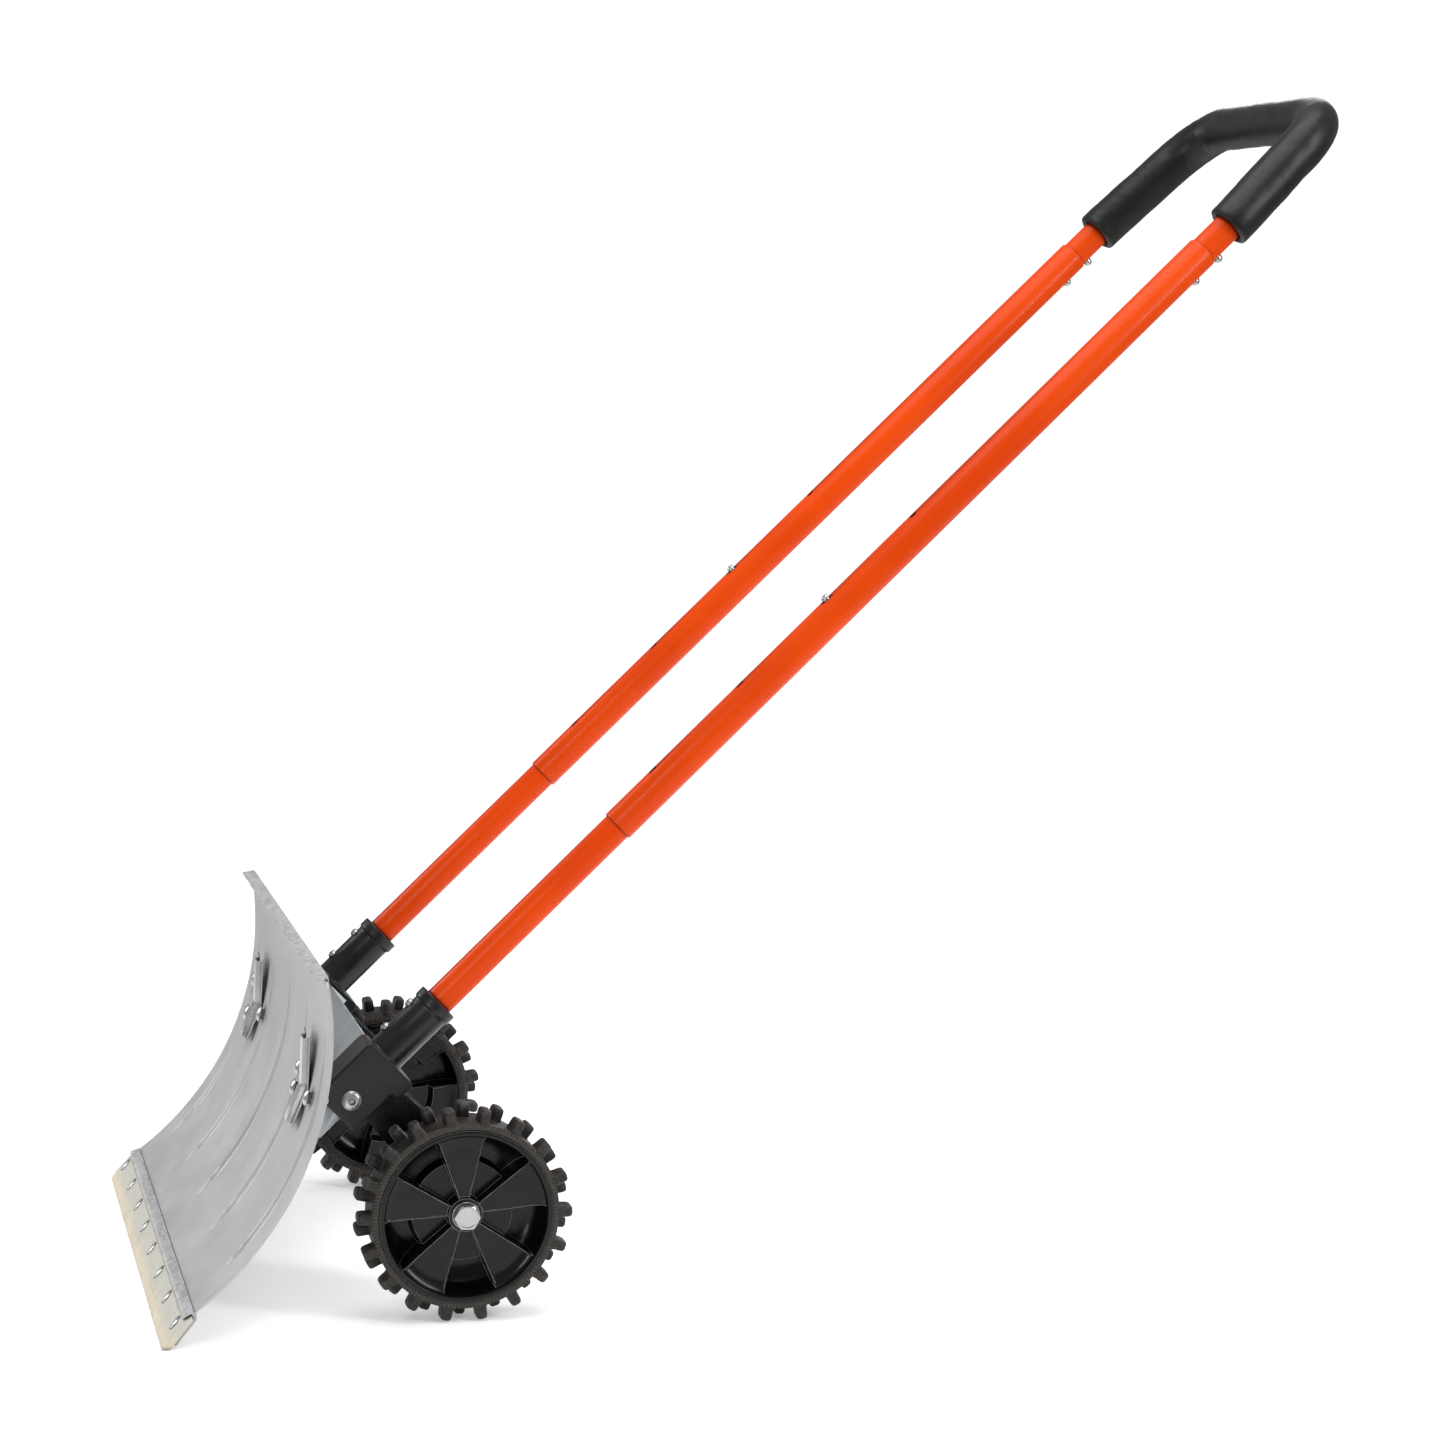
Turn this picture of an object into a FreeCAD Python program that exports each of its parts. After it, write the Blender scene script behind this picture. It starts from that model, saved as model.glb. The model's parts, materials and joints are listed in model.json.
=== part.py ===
import FreeCAD, Part
import math
import os
import Sketcher

from FreeCAD import Placement, Rotation, Vector

# A two-wheeled snow pusher: a ribbed sheet blade with a polymer wear strip, carried ahead of two lugged
# wheels and pushed with telescoping twin tubes that end in a padded U handle.
# Millimetres. X is the width, the blade faces -Y, the handle rises towards +Y, and Z is up from the ground.
# "left" and "right" are the user's own: left is +X.

os.makedirs("parts", exist_ok=True)
document = FreeCAD.newDocument("wheeled_snow_pusher")
sheet = document.addObject("Spreadsheet::Sheet", "dims")
SIDES = (("left", 1), ("right", -1))
FACING_X = Rotation(Vector(1, 1, 1), 120)      # turns X to Y, Y to Z and Z to X
QUARTER_TURN = Placement(Vector(), Rotation(Vector(0, 0, 1), 90))


class Size:
    """A number together with the sheet expression that gives it."""

    def __init__(self, value, text):
        self.value = value
        self.text = text

    def joined(self, other, sign, value):
        return Size(value, f"({self.text} {sign} {text_of(other)})")

    def __add__(self, other):
        return self.joined(other, "+", self.value + number(other))

    def __sub__(self, other):
        return self.joined(other, "-", self.value - number(other))

    def __mul__(self, other):
        return self.joined(other, "*", self.value * number(other))

    def __truediv__(self, other):
        return self.joined(other, "/", self.value / number(other))

    def __neg__(self):
        return Size(-self.value, f"(-1 * {self.text})")


def number(size):
    return size.value if isinstance(size, Size) else float(size)


def text_of(size):
    return size.text if isinstance(size, Size) else repr(float(size))


def cell(alias, value, meaning):
    """Adds one driving dimension to the sheet."""
    row = cell.rows = cell.rows + 1
    sheet.set(f"A{row}", meaning)
    sheet.set(f"B{row}", str(value))
    sheet.setAlias(f"B{row}", alias)
    return Size(float(value), f"dims.{alias}")


cell.rows = 0

# ---------------------------------------------------------------- driving dimensions
blade_width = cell("blade_width", 514, "blade sheet, side to side")
blade_radius = cell("blade_radius", 271.5, "radius of the blade's front face")
blade_center_y = cell("blade_center_y", -655.3, "axis of the blade's curve, Y")
blade_center_z = cell("blade_center_z", 245, "axis of the blade's curve, Z")
blade_top_angle = cell("blade_top_angle", 10.2, "blade's top edge above the curve's axis, degrees")
blade_low_angle = cell("blade_low_angle", 52.4, "end of the curve below its axis, degrees")
sheet_gauge = cell("sheet_gauge", 1.5, "blade sheet thickness")
rib_count = 5
rib_pitch = cell("rib_pitch", 110, "between pressed ribs")
rib_depth = cell("rib_depth", 3, "ribs pressed backwards")
rib_half_width = cell("rib_half_width", 7.5, "half the width of a rib at the sheet")
rib_top_angle = cell("rib_top_angle", 2, "rib's top end above the axis, degrees")
rib_low_angle = cell("rib_low_angle", 45.6, "rib's low end below the axis, degrees")
trim_width = cell("trim_width", 494, "top edge trim, side to side")
trim_depth = cell("trim_depth", 11.5, "top edge trim, front to back")
trim_gauge = cell("trim_gauge", 2.4, "top edge trim, thickness")
trim_leg = cell("trim_leg", 9, "trim's leg down behind the sheet")
trim_leg_gauge = cell("trim_leg_gauge", 1, "trim's leg, thickness")
strip_toe_y = cell("strip_toe_y", -518.3, "wear strip's front lower edge, Y")
strip_slope = cell("strip_slope", 51.6, "wear strip above the ground, degrees")
strip_width = cell("strip_width", 520, "wear strip, side to side")
strip_rise = cell("strip_rise", 30, "wear strip's front face, up the slope")
strip_gauge = cell("strip_gauge", 6.8, "wear strip thickness")
rail_gauge = cell("rail_gauge", 1.1, "folded rail over the strip's top, thickness")
rivet_pitch = cell("rivet_pitch", 69.7, "between strip rivets")
rivet_rise = cell("rivet_rise", 22.5, "strip rivets up the slope")
rivet_count = 8
rivet_radius = cell("rivet_radius", 2.5, "strip rivet shank")
rivet_head_radius = cell("rivet_head_radius", 5.5, "strip rivet head")
rivet_head_rise = cell("rivet_head_rise", 1.4, "strip rivet head above the strip")
bolt_offset = cell("bolt_offset", 34, "blade bolts to each side of a strap")
single_bolt_angle = cell("single_bolt_angle", 13, "single blade bolt below the axis, degrees")
left_bolt_angles = (cell("left_bolt_high_angle", 11, "left pair of bolts, upper one below the axis"),
                    cell("left_bolt_low_angle", 14.6, "left pair of bolts, lower one below the axis"))
right_bolt_angles = (cell("right_bolt_high_angle", 9, "right pair of bolts, upper one below the axis"),
                     cell("right_bolt_low_angle", 15.9, "right pair of bolts, lower one below the axis"))
bolt_radius = cell("bolt_radius", 3, "blade bolt shank")
bolt_head_radius = cell("bolt_head_radius", 7.2, "blade bolt dome head")
bolt_neck = cell("bolt_neck", 4, "blade bolt's collar between the sheet and the dome")
bolt_neck_radius = cell("bolt_neck_radius", 5, "blade bolt's collar")
nut_height = cell("nut_height", 5, "blade nuts")
tube_half_spacing = cell("tube_half_spacing", 154, "handle tubes from the middle")
mouth_y = cell("mouth_y", -280.3, "socket mouth on the tube axis, Y")
mouth_z = cell("mouth_z", 252.4, "socket mouth on the tube axis, Z")
tube_angle = cell("tube_angle", 44.4, "handle tubes above the ground, degrees")
inner_radius = cell("inner_radius", 12.5, "lower and handle tubes, outside")
inner_bore = cell("inner_bore", 11, "lower and handle tubes, inside")
outer_radius = cell("outer_radius", 14, "upper tubes, outside")
outer_bore = cell("outer_bore", 12.8, "upper tubes, inside")
lower_tube_foot = cell("lower_tube_foot", -50, "lower tube's foot in the socket")
lower_tube_top = cell("lower_tube_top", 500, "lower tube's top inside the upper tube")
upper_tube_foot = cell("upper_tube_foot", 208, "upper tube's foot")
upper_tube_top = cell("upper_tube_top", 912, "upper tube's top")
hole_first = cell("hole_first", 262, "lowest adjustment hole along the tube")
hole_pitch = cell("hole_pitch", 103, "between adjustment holes")
hole_radius = cell("hole_radius", 4.2, "adjustment holes")
button_b_at = cell("button_b_at", 890.6, "handle button seated in the upper tube")
button_a_at = cell("button_a_at", 918.8, "handle button above the upper tube")
button_radius = cell("button_radius", 3.9, "snap button pin")
button_tip = cell("button_tip", 17.6, "button's tip from the tube axis")
button_seat = cell("button_seat", 8, "button's flange from the tube axis")
mid_button_at = hole_first + hole_pitch * 2
leaf_gauge = cell("leaf_gauge", 0.6, "snap spring thickness")
leaf_width = cell("leaf_width", 6, "snap spring width")
handle_foot = cell("handle_foot", 792, "handle tube's foot inside the upper tube")
grip_foot = cell("grip_foot", 942, "foam grip's lower end")
grip_radius = cell("grip_radius", 20.2, "foam grip, outside")
handle_knee = cell("handle_knee", 952, "where the handle's legs turn inwards")
knee_angle = cell("knee_angle", 9.5, "how far the legs turn inwards, degrees")
knee_radius = cell("knee_radius", 80, "bend at the knee")
crossbar_at = cell("crossbar_at", 1084, "handle crossbar along the tube")
corner_radius = cell("corner_radius", 51.5, "bend at the crossbar")
socket_radius = cell("socket_radius", 16.7, "socket barrel, outside")
socket_bore = cell("socket_bore", 12.6, "socket barrel, inside")
collar_radius = cell("collar_radius", 18.4, "socket collar, outside")
collar_length = cell("collar_length", 9, "socket collar along the tube")
cheek_inner_x = cell("cheek_inner_x", 134, "socket cheek's inner face")
cheek_outer_x = cell("cheek_outer_x", 174, "socket cheek's outer face")
cheek_wall = cell("cheek_wall", 6, "socket cheek walls")
cheek_top = cell("cheek_top", -62, "cheek's upper end along the tube")
cheek_end = cell("cheek_end", -124, "cheek's lower end along the tube")
cheek_front = cell("cheek_front", 21.7, "cheek's upper edge above the tube axis")
cheek_back = cell("cheek_back", 23.7, "cheek's lower edge below the tube axis")
pivot_at = cell("pivot_at", -107, "cheek bolt along the tube")
pivot_drop = cell("pivot_drop", 2.5, "cheek bolt below the tube axis")
pivot_radius = cell("pivot_radius", 4, "cheek bolt shank")
screw_first = cell("screw_first", -17.7, "upper socket screw along the tube")
screw_pitch = cell("screw_pitch", 28.1, "between socket screws")
screw_radius = cell("screw_radius", 2.2, "socket screw shank")
web_height = cell("web_height", 13, "cross bracket's web above the tube axis")
web_gauge = cell("web_gauge", 2, "cross bracket thickness")
web_end = cell("web_end", -128, "web's lower end along the tube")
ear_end = cell("ear_end", -150, "ear's lower end along the tube, before it meets the blade")
ear_back = cell("ear_back", 18, "ear's lower edge below the tube axis")
foot_inner_x = cell("foot_inner_x", 121, "bracket foot's inner end")
foot_outer_x = cell("foot_outer_x", 199, "bracket foot's outer end")
foot_top_angle = cell("foot_top_angle", 7.2, "bracket foot's upper edge below the axis, degrees")
foot_low_angle = cell("foot_low_angle", 17.8, "bracket foot's lower edge below the axis, degrees")
bracket_plate = cell("bracket_plate", 3, "axle bracket plate thickness")
bracket_inner_x = cell("bracket_inner_x", 142, "axle bracket's inner face")
bracket_outer_x = cell("bracket_outer_x", 166, "axle bracket's outer face")
boss_rise = cell("boss_rise", 0.4, "bosses pressed proud of the axle bracket's plates")
strap_x = cell("strap_x", 160, "front straps from the middle")
strap_upper_angle = cell("strap_upper_angle", 7.9, "middle of the strap's upper half below the axis")
strap_lower_angle = cell("strap_lower_angle", 15.9, "middle of the strap's lower half below the axis")
strap_upper_length = cell("strap_upper_length", 42.6, "strap's upper half")
strap_lower_length = cell("strap_lower_length", 34.6, "strap's lower half")
strap_flange = cell("strap_flange", 17, "strap, half its width")
strap_crown = cell("strap_crown", 8.5, "strap's raised middle, half its width")
strap_rise = cell("strap_rise", 5.5, "strap's raised middle above the blade")
strap_gauge = cell("strap_gauge", 1.4, "strap thickness")
strap_lift = cell("strap_lift", 0.9, "flat strap above the middle of its stretch of the curve")
axle_y = cell("axle_y", -267.3, "wheel axle, Y")
wheel_radius = cell("wheel_radius", 89, "wheel over the lugs")
hub_inner_x = cell("hub_inner_x", 186, "hub's inner face")
hub_outer_x = cell("hub_outer_x", 230, "hub's outer face")
rim_radius = cell("rim_radius", 72, "hub rim, outside")
rim_bore = cell("rim_bore", 67.5, "hub rim, inside")
tread_radius = cell("tread_radius", 77.7, "tyre between the lugs")
axle_radius = cell("axle_radius", 6, "axle bolt shank")
axle_head_x = cell("axle_head_x", 226, "underside of the axle bolt's head")
axle_head_radius = cell("axle_head_radius", 10.97, "axle bolt's head and nut across corners, half")
axle_head_height = cell("axle_head_height", 7.5, "axle bolt's head")
hub_bore = cell("hub_bore", 6.06, "hub bore")
lug_count = 18
lug_phase = cell("lug_phase", 0, "outer row of lugs, degrees")
panel_count = 5
panel_angle = cell("panel_angle", 35, "raised hub panel, degrees")
panel_phase = cell("panel_phase", -50, "first raised panel, degrees")
panel_x = cell("panel_x", 218, "back of the raised panels")
floor_x = cell("floor_x", 200, "back of the floors between the panels")
panel_gauge = cell("panel_gauge", 3, "panels and floors")


# ---------------------------------------------------------------- helpers
def bind(thing, **sizes):
    for name, size in sizes.items():
        thing.setExpression(name, text_of(size))
    return thing


def solid(kind, name, placement, **sizes):
    thing = document.addObject(kind, name)
    thing.Placement = placement
    return bind(thing, **sizes)


def cylinder(name, radius, height, placement, angle=360):
    return solid("Part::Cylinder", name, placement, Radius=radius, Height=height, Angle=angle)


def hexagon(name, radius, height, placement):
    thing = solid("Part::Prism", name, placement, Circumradius=radius, Height=height)
    thing.Polygon = 6
    return thing


def box(name, frame, across, deep, high):
    """A box between pairs of sizes along the frame's X, Y and Z."""
    corner = Vector(number(across[0]), number(deep[0]), number(high[0]))
    sizes = [Size(number(high_end), text_of(high_end)) - low_end for low_end, high_end in (across, deep, high)]
    placement = frame.multiply(Placement(corner, Rotation()))
    return solid("Part::Box", name, placement, Length=sizes[0], Width=sizes[1], Height=sizes[2])


def fuse(name, pieces):
    thing = document.addObject("Part::MultiFuse", name)
    thing.Shapes = pieces
    return thing


def cut(name, base, tool):
    thing = document.addObject("Part::Cut", name)
    thing.Base = base
    thing.Tool = tool
    return thing


def common(name, pieces):
    thing = document.addObject("Part::MultiCommon", name)
    thing.Shapes = pieces
    return thing


def group(name, pieces):
    """Identical loose pieces that share one node."""
    thing = document.addObject("Part::Compound", name)
    thing.Links = pieces
    return thing


def spot(x=0, y=0, z=0):
    return Placement(Vector(number(x), number(y), number(z)), Rotation())


def along_x(x, y, z, start=0):
    """A frame whose Z runs along +X and whose X starts that many degrees from +Y towards +Z."""
    turn = Rotation(Vector(1, 0, 0), number(start)).multiply(FACING_X)
    return Placement(Vector(number(x), number(y), number(z)), turn)


def low_x(side, inner, outer):
    """The end with the lower X of a span that is given from the middle outwards."""
    return inner if side > 0 else -outer


def in_tube(x, along, above=0):
    """A frame on the handle tube: Z runs up the tube, and 'above' is towards the blade's side."""
    mouth = Vector(0, number(mouth_y), number(mouth_z))
    tilt = Placement(mouth, Rotation(Vector(1, 0, 0), number(tube_angle) - 90))
    return tilt.multiply(spot(x, -number(above), along))


def on_tube(x, along, facing):
    """A frame on the tube axis whose Z points out of the tube, above it (1) or below it (-1)."""
    return in_tube(x, along).multiply(Placement(Vector(), Rotation(Vector(1, 0, 0), 90 * facing)))


def on_blade(x, angle):
    """A frame on the blade's front face at an angle below the curve's axis: Z points forwards."""
    turn = math.radians(-number(angle))
    y = number(blade_center_y) + number(blade_radius) * math.cos(turn)
    z = number(blade_center_z) + number(blade_radius) * math.sin(turn)
    return Placement(Vector(number(x), y, z), Rotation(Vector(1, 0, 0), 90 - number(angle)))


def on_strip(x=0):
    """A frame at the wear strip's toe: Y runs up the strip's front face and Z points out of it."""
    return Placement(Vector(number(x), number(strip_toe_y), 0), Rotation(Vector(1, 0, 0), number(strip_slope)))


def origin_datum(body, role):
    """One of a body's own datum planes or axes."""
    return next(item for item in body.Origin.OriginFeatures if item.Role == role)


def outline(body, name, points):
    """A closed outline on the body's YZ plane, each corner held by two sizes."""
    sketch = body.newObject("Sketcher::SketchObject", name)
    sketch.AttachmentSupport = [(origin_datum(body, "YZ_Plane"), "")]
    sketch.MapMode = "FlatFace"
    corners = [Vector(number(y), number(z), 0) for y, z in points]
    count = len(corners)
    for index, corner in enumerate(corners):
        sketch.addGeometry(Part.LineSegment(corner, corners[(index + 1) % count]), False)
    for index in range(count):
        sketch.addConstraint(Sketcher.Constraint("Coincident", index, 2, (index + 1) % count, 1))
    for index, (y, z) in enumerate(points):
        for kind, size in (("DistanceX", y), ("DistanceY", z)):
            place = sketch.addConstraint(Sketcher.Constraint(kind, -1, 1, index, 1, number(size)))
            if isinstance(size, Size):
                sketch.setExpression(f"Constraints[{place}]", size.text)
    return sketch


def padded(name, placement, points, thickness):
    """A body with one outline on its YZ plane, padded along +X."""
    body = document.addObject("PartDesign::Body", name)
    body.Placement = placement
    pad = body.newObject("PartDesign::Pad", name + "_pad")
    pad.Profile = outline(body, name + "_outline", points)
    bind(pad, Length=thickness)
    body.Tip = pad
    return body


def tangent(angle):
    return Size(math.tan(math.radians(number(angle))), f"tan({text_of(angle)} * 1 deg)")


def cosine(angle):
    return Size(math.cos(math.radians(number(angle))), f"cos({text_of(angle)} * 1 deg)")


def outwards(side, x, y, z):
    """A frame whose Z points away from the middle of the width."""
    return Placement(Vector(side * number(x), number(y), number(z)), Rotation(Vector(0, 1, 0), 90 * side))


def shifted(frame, z):
    return frame.multiply(spot(0, 0, z))


def sector(name, x_low, x_high, inner, outer, top, low):
    """A curved plate about the blade's axis, between two radii and two angles below the axis."""
    frame = along_x(x_low, blade_center_y, blade_center_z, -low)
    width = x_high - x_low
    outside = cylinder(name + "_outside", outer, width, frame, low - top)
    inside = cylinder(name + "_inside", inner, width, frame)
    return cut(name, outside, inside)


# ---------------------------------------------------------------- blade
def bolt_spots():
    """Blade bolts beside each front strap: a pair on its right flank, one on its left."""
    for pair, side in ((left_bolt_angles, 1), (right_bolt_angles, -1)):
        for offset, angle in ((-bolt_offset, pair[0]), (-bolt_offset, pair[1]), (bolt_offset, single_bolt_angle)):
            yield on_blade(side * number(strap_x) + number(offset), angle)


def bolt_holes(name):
    depth = 40
    return fuse(name, [cylinder(f"{name}_{index}", bolt_radius + 0.1, depth, shifted(frame, -depth / 2))
                       for index, frame in enumerate(bolt_spots())])


def rivet_spots():
    for index in range(rivet_count):
        x = (index - (rivet_count - 1) / 2) * number(rivet_pitch)
        yield on_strip(x).multiply(spot(0, rivet_rise))


def rivet_holes(name):
    depth = 30
    return fuse(name, [cylinder(f"{name}_{index}", rivet_radius + 0.05, depth, shifted(frame, -depth / 2))
                       for index, frame in enumerate(rivet_spots())])


def rib(name, x, gauge):
    """One bead round the blade's axis, as it is outside (gauge added) or inside the pressed metal."""
    bead = (rib_half_width * rib_half_width + rib_depth * rib_depth) / (rib_depth * 2)
    frame = along_x(x, blade_center_y, blade_center_z, -rib_low_angle)
    return solid("Part::Torus", name, frame, Radius1=blade_radius + rib_depth - bead, Radius2=bead + gauge,
                 Angle3=rib_low_angle + rib_top_angle)


def make_blade_sheet():
    low_end = -blade_width / 2
    curve = sector("blade_curve", low_end, blade_width / 2, blade_radius, blade_radius + sheet_gauge,
                   -blade_top_angle, blade_low_angle)
    back_space = sector("blade_back_space", low_end, blade_width / 2, blade_radius, blade_radius + rib_depth * 4,
                        -blade_top_angle, blade_low_angle)
    rib_places = [(index - (rib_count - 1) / 2) * number(rib_pitch) for index in range(rib_count)]
    beads = [common(f"bead_{index}", [back_space, rib(f"rib_outside_{index}", x, sheet_gauge)])
             for index, x in enumerate(rib_places)]
    ribbed = fuse("blade_beaded", [curve] + beads)
    for index, x in enumerate(rib_places):
        ribbed = cut(f"blade_groove_{index}", ribbed, rib(f"rib_inside_{index}", x, 0))
    face = -strip_gauge - rail_gauge
    heel = padded("blade_heel", on_strip(low_end), [
        (42.1, -4.0), (41.1, -3.75), (36.4, face), (10.5, face), (10.5, face - sheet_gauge),
        (36.9, face - sheet_gauge), (41.7, -5.3)], blade_width)
    holes = fuse("blade_holes", [bolt_holes("blade_bolt_holes"), rivet_holes("blade_rivet_holes")])
    return cut("blade_sheet", fuse("blade_whole", [ribbed, heel]), holes)


def make_top_edge_trim():
    frame = on_blade(0, -blade_top_angle)
    across = (-trim_width / 2, trim_width / 2)
    rear = -sheet_gauge - trim_leg_gauge
    cap = box("trim_cap", frame, across, (0, trim_gauge), (rear, rear + trim_depth))
    leg = box("trim_leg_plate", frame, across, (-trim_leg, trim_gauge), (rear, -sheet_gauge))
    return fuse("top_edge_trim", [cap, leg])


def make_wear_strip():
    foot = strip_gauge / tangent(strip_slope)
    blank = padded("strip_blank", on_strip(-strip_width / 2), [
        (0, 0), (strip_rise, 0), (37.8, -3.1), (35.1, -strip_gauge), (foot, -strip_gauge)], strip_width)
    return cut("wear_strip", blank, rivet_holes("strip_holes"))


def make_lower_edge_rail():
    leg = strip_gauge + rail_gauge
    blank = padded("rail_blank", on_strip(-blade_width / 2), [
        (31.6, 0), (41.1, -3.7), (36.4, -leg), (10, -leg), (10, -strip_gauge), (35.15, -strip_gauge),
        (37.9, -3.1), (strip_rise + 0.1, 0)], blade_width)
    return cut("lower_edge_rail", blank, rivet_holes("rail_holes"))


def make_strip_rivets():
    pieces = []
    for index, frame in enumerate(rivet_spots()):
        stack = strip_gauge + rail_gauge + sheet_gauge
        head = cylinder(f"rivet_head_{index}", rivet_head_radius, rivet_head_rise, frame)
        shank = cylinder(f"rivet_shank_{index}", rivet_radius, stack, shifted(frame, -stack))
        tail = cylinder(f"rivet_tail_{index}", rivet_head_radius * 0.75, rivet_head_rise,
                        shifted(frame, -stack - rivet_head_rise))
        pieces.append(fuse(f"rivet_{index}", [head, shank, tail]))
    return group("strip_rivets", pieces)


def make_front_strap(side_name, side):
    """A kinked hat-section strap: an upright upper half and a lower half that leans forwards."""
    pieces = []
    hollows = []
    for half, angle, length in (("upper", strap_upper_angle, strap_upper_length),
                                ("lower", strap_lower_angle, strap_lower_length)):
        frame = on_blade(side * number(strap_x), angle)
        up = (-length / 2, length / 2)
        name = f"strap_{side_name}_{half}"
        pieces.append(box(name + "_flange", frame, (-strap_flange, strap_flange), up,
                          (strap_lift, strap_lift + strap_gauge)))
        pieces.append(box(name + "_crown", frame, (-strap_crown, strap_crown), up, (strap_lift, strap_rise)))
        hollows.append(box(name + "_hollow", frame, (-strap_crown + strap_gauge, strap_crown - strap_gauge),
                           (-length, length), (0, strap_rise - strap_gauge)))
    whole = fuse(f"strap_{side_name}_whole", pieces)
    return cut(f"front_strap_{side_name}", whole, fuse(f"strap_{side_name}_hollows", hollows))


def make_blade_bolts():
    pieces = []
    for index, frame in enumerate(bolt_spots()):
        collar = cylinder(f"bolt_collar_{index}", bolt_neck_radius, bolt_neck, shifted(frame, 0.15))
        seat = shifted(frame, bolt_neck + 0.15)
        dome = solid("Part::Cone", f"bolt_dome_{index}", seat, Radius1=bolt_head_radius, Radius2=2.5, Height=3)
        shank = cylinder(f"bolt_shank_{index}", bolt_radius, 15, shifted(frame, -14))
        pieces.append(fuse(f"bolt_{index}", [collar, dome, shank]))
    return group("blade_bolts", pieces)


def make_blade_nuts():
    pieces = []
    flange = sheet_gauge + web_gauge
    for index, frame in enumerate(bolt_spots()):
        seat = shifted(frame, -flange - nut_height - 0.2).multiply(QUARTER_TURN)
        nut = hexagon(f"nut_body_{index}", bolt_radius * 1.9, nut_height, seat)
        bore = cylinder(f"nut_bore_{index}", bolt_radius, nut_height + 2, shifted(seat, -1))
        pieces.append(cut(f"nut_{index}", nut, bore))
    return group("blade_nuts", pieces)


# ---------------------------------------------------------------- sockets and brackets
def pivot_hole(name, radius):
    frame = in_tube(-200, pivot_at, -pivot_drop).multiply(Placement(Vector(), Rotation(Vector(0, 1, 0), 90)))
    return cylinder(name, radius, 400, frame)


def rounded_along_x(name, block, radius):
    """Rounds the four edges of a box that run along X."""
    document.recompute()
    edges = []
    for index, edge in enumerate(block.Shape.Edges, start=1):
        direction = edge.tangentAt(edge.FirstParameter)
        if abs(direction.x) > 0.99:
            edges.append((index, number(radius), number(radius)))
    fillet = document.addObject("Part::Fillet", name)
    fillet.Base = block
    fillet.Edges = edges
    return fillet


def make_socket(side_name, side):
    """Tube socket with a collar, widening into a forked cheek and a small lug on its rear edge."""
    name = f"socket_{side_name}"
    frame = in_tube(0, 0)
    tube_x = side * number(tube_half_spacing)
    inner, outer = cheek_inner_x, cheek_outer_x
    low = low_x(side, inner, outer)
    wide = (low, low + (outer - inner))
    fork_low = low_x(side, inner + cheek_wall, outer - cheek_wall)
    fork = (fork_low, fork_low + (outer - inner - cheek_wall * 2))
    barrel = cylinder(name + "_barrel", socket_radius, -cheek_top + 14, in_tube(tube_x, cheek_top - 14))
    collar = cylinder(name + "_collar", collar_radius, collar_length, in_tube(tube_x, -collar_length))
    block = box(name + "_block", frame, wide, (-cheek_front, cheek_back), (cheek_end, cheek_top))
    cheek = rounded_along_x(name + "_cheek", block, 5)
    lug_depth = (cheek_back - 12, cheek_back + 7)
    lug_block = box(name + "_lug_block", frame, wide, lug_depth, (cheek_top - 18, cheek_top))
    lug = rounded_along_x(name + "_lug", lug_block, 4)
    whole = fuse(name + "_whole", [barrel, collar, cheek, lug])
    tools = [
        cylinder(name + "_bore", socket_bore, -lower_tube_foot + 5, in_tube(tube_x, lower_tube_foot)),
        box(name + "_fork", frame, fork, (-cheek_front + 4, cheek_back + 8), (cheek_end - 2, cheek_top - 8)),
        pivot_hole(name + "_pivot_hole", pivot_radius + 0.1),
    ]
    for index in range(2):
        along = screw_first - screw_pitch * index
        tools.append(cylinder(f"{name}_screw_hole_{index}", screw_radius + 0.05, 25, on_tube(tube_x, along, 1)))
    return cut(name, whole, fuse(name + "_tools", tools))


def make_cross_bracket():
    """Zinc bracket: a web between the sockets, an ear beside each cheek and a foot on the blade's back."""
    frame = in_tube(0, 0)
    reach = cheek_inner_x - 0.5
    pieces = [box("bracket_web", frame, (-reach, reach), (-web_height - web_gauge, -web_height),
                  (web_end, cheek_top - 2))]
    back = blade_radius + sheet_gauge
    for side_name, side in SIDES:
        name = f"bracket_{side_name}"
        ear_low = low_x(side, reach - web_gauge, reach)
        blank = box(name + "_ear_blank", frame, (ear_low, ear_low + web_gauge),
                    (-web_height - web_gauge, ear_back), (ear_end, cheek_top - 4))
        clearing = cylinder(name + "_ear_clearing", back + 1, 8,
                            along_x(number(ear_low) - 2, blade_center_y, blade_center_z))
        pieces.append(cut(name + "_ear", blank, clearing))
        foot_low = low_x(side, foot_inner_x, foot_outer_x)
        pieces.append(sector(name + "_foot", foot_low, foot_low + (foot_outer_x - foot_inner_x), back,
                             back + web_gauge, foot_top_angle, foot_low_angle))
    whole = fuse("bracket_whole", pieces)
    tools = fuse("bracket_tools", [pivot_hole("bracket_pivot_hole", pivot_radius + 0.1),
                                   bolt_holes("bracket_bolt_holes")])
    return cut("cross_bracket", whole, tools)


def make_socket_screws():
    pieces = []
    for side_name, side in SIDES:
        for index in range(2):
            frame = on_tube(side * number(tube_half_spacing), screw_first - screw_pitch * index, 1)
            name = f"socket_screw_{side_name}_{index}"
            head = solid("Part::Cone", name + "_head", shifted(frame, socket_radius), Radius1=4.2, Radius2=2.6,
                         Height=3.4)
            shank = cylinder(name + "_shank", screw_radius, socket_radius - 9.5, shifted(frame, 9.5))
            pieces.append(fuse(name, [head, shank]))
    return group("socket_screws", pieces)


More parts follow.
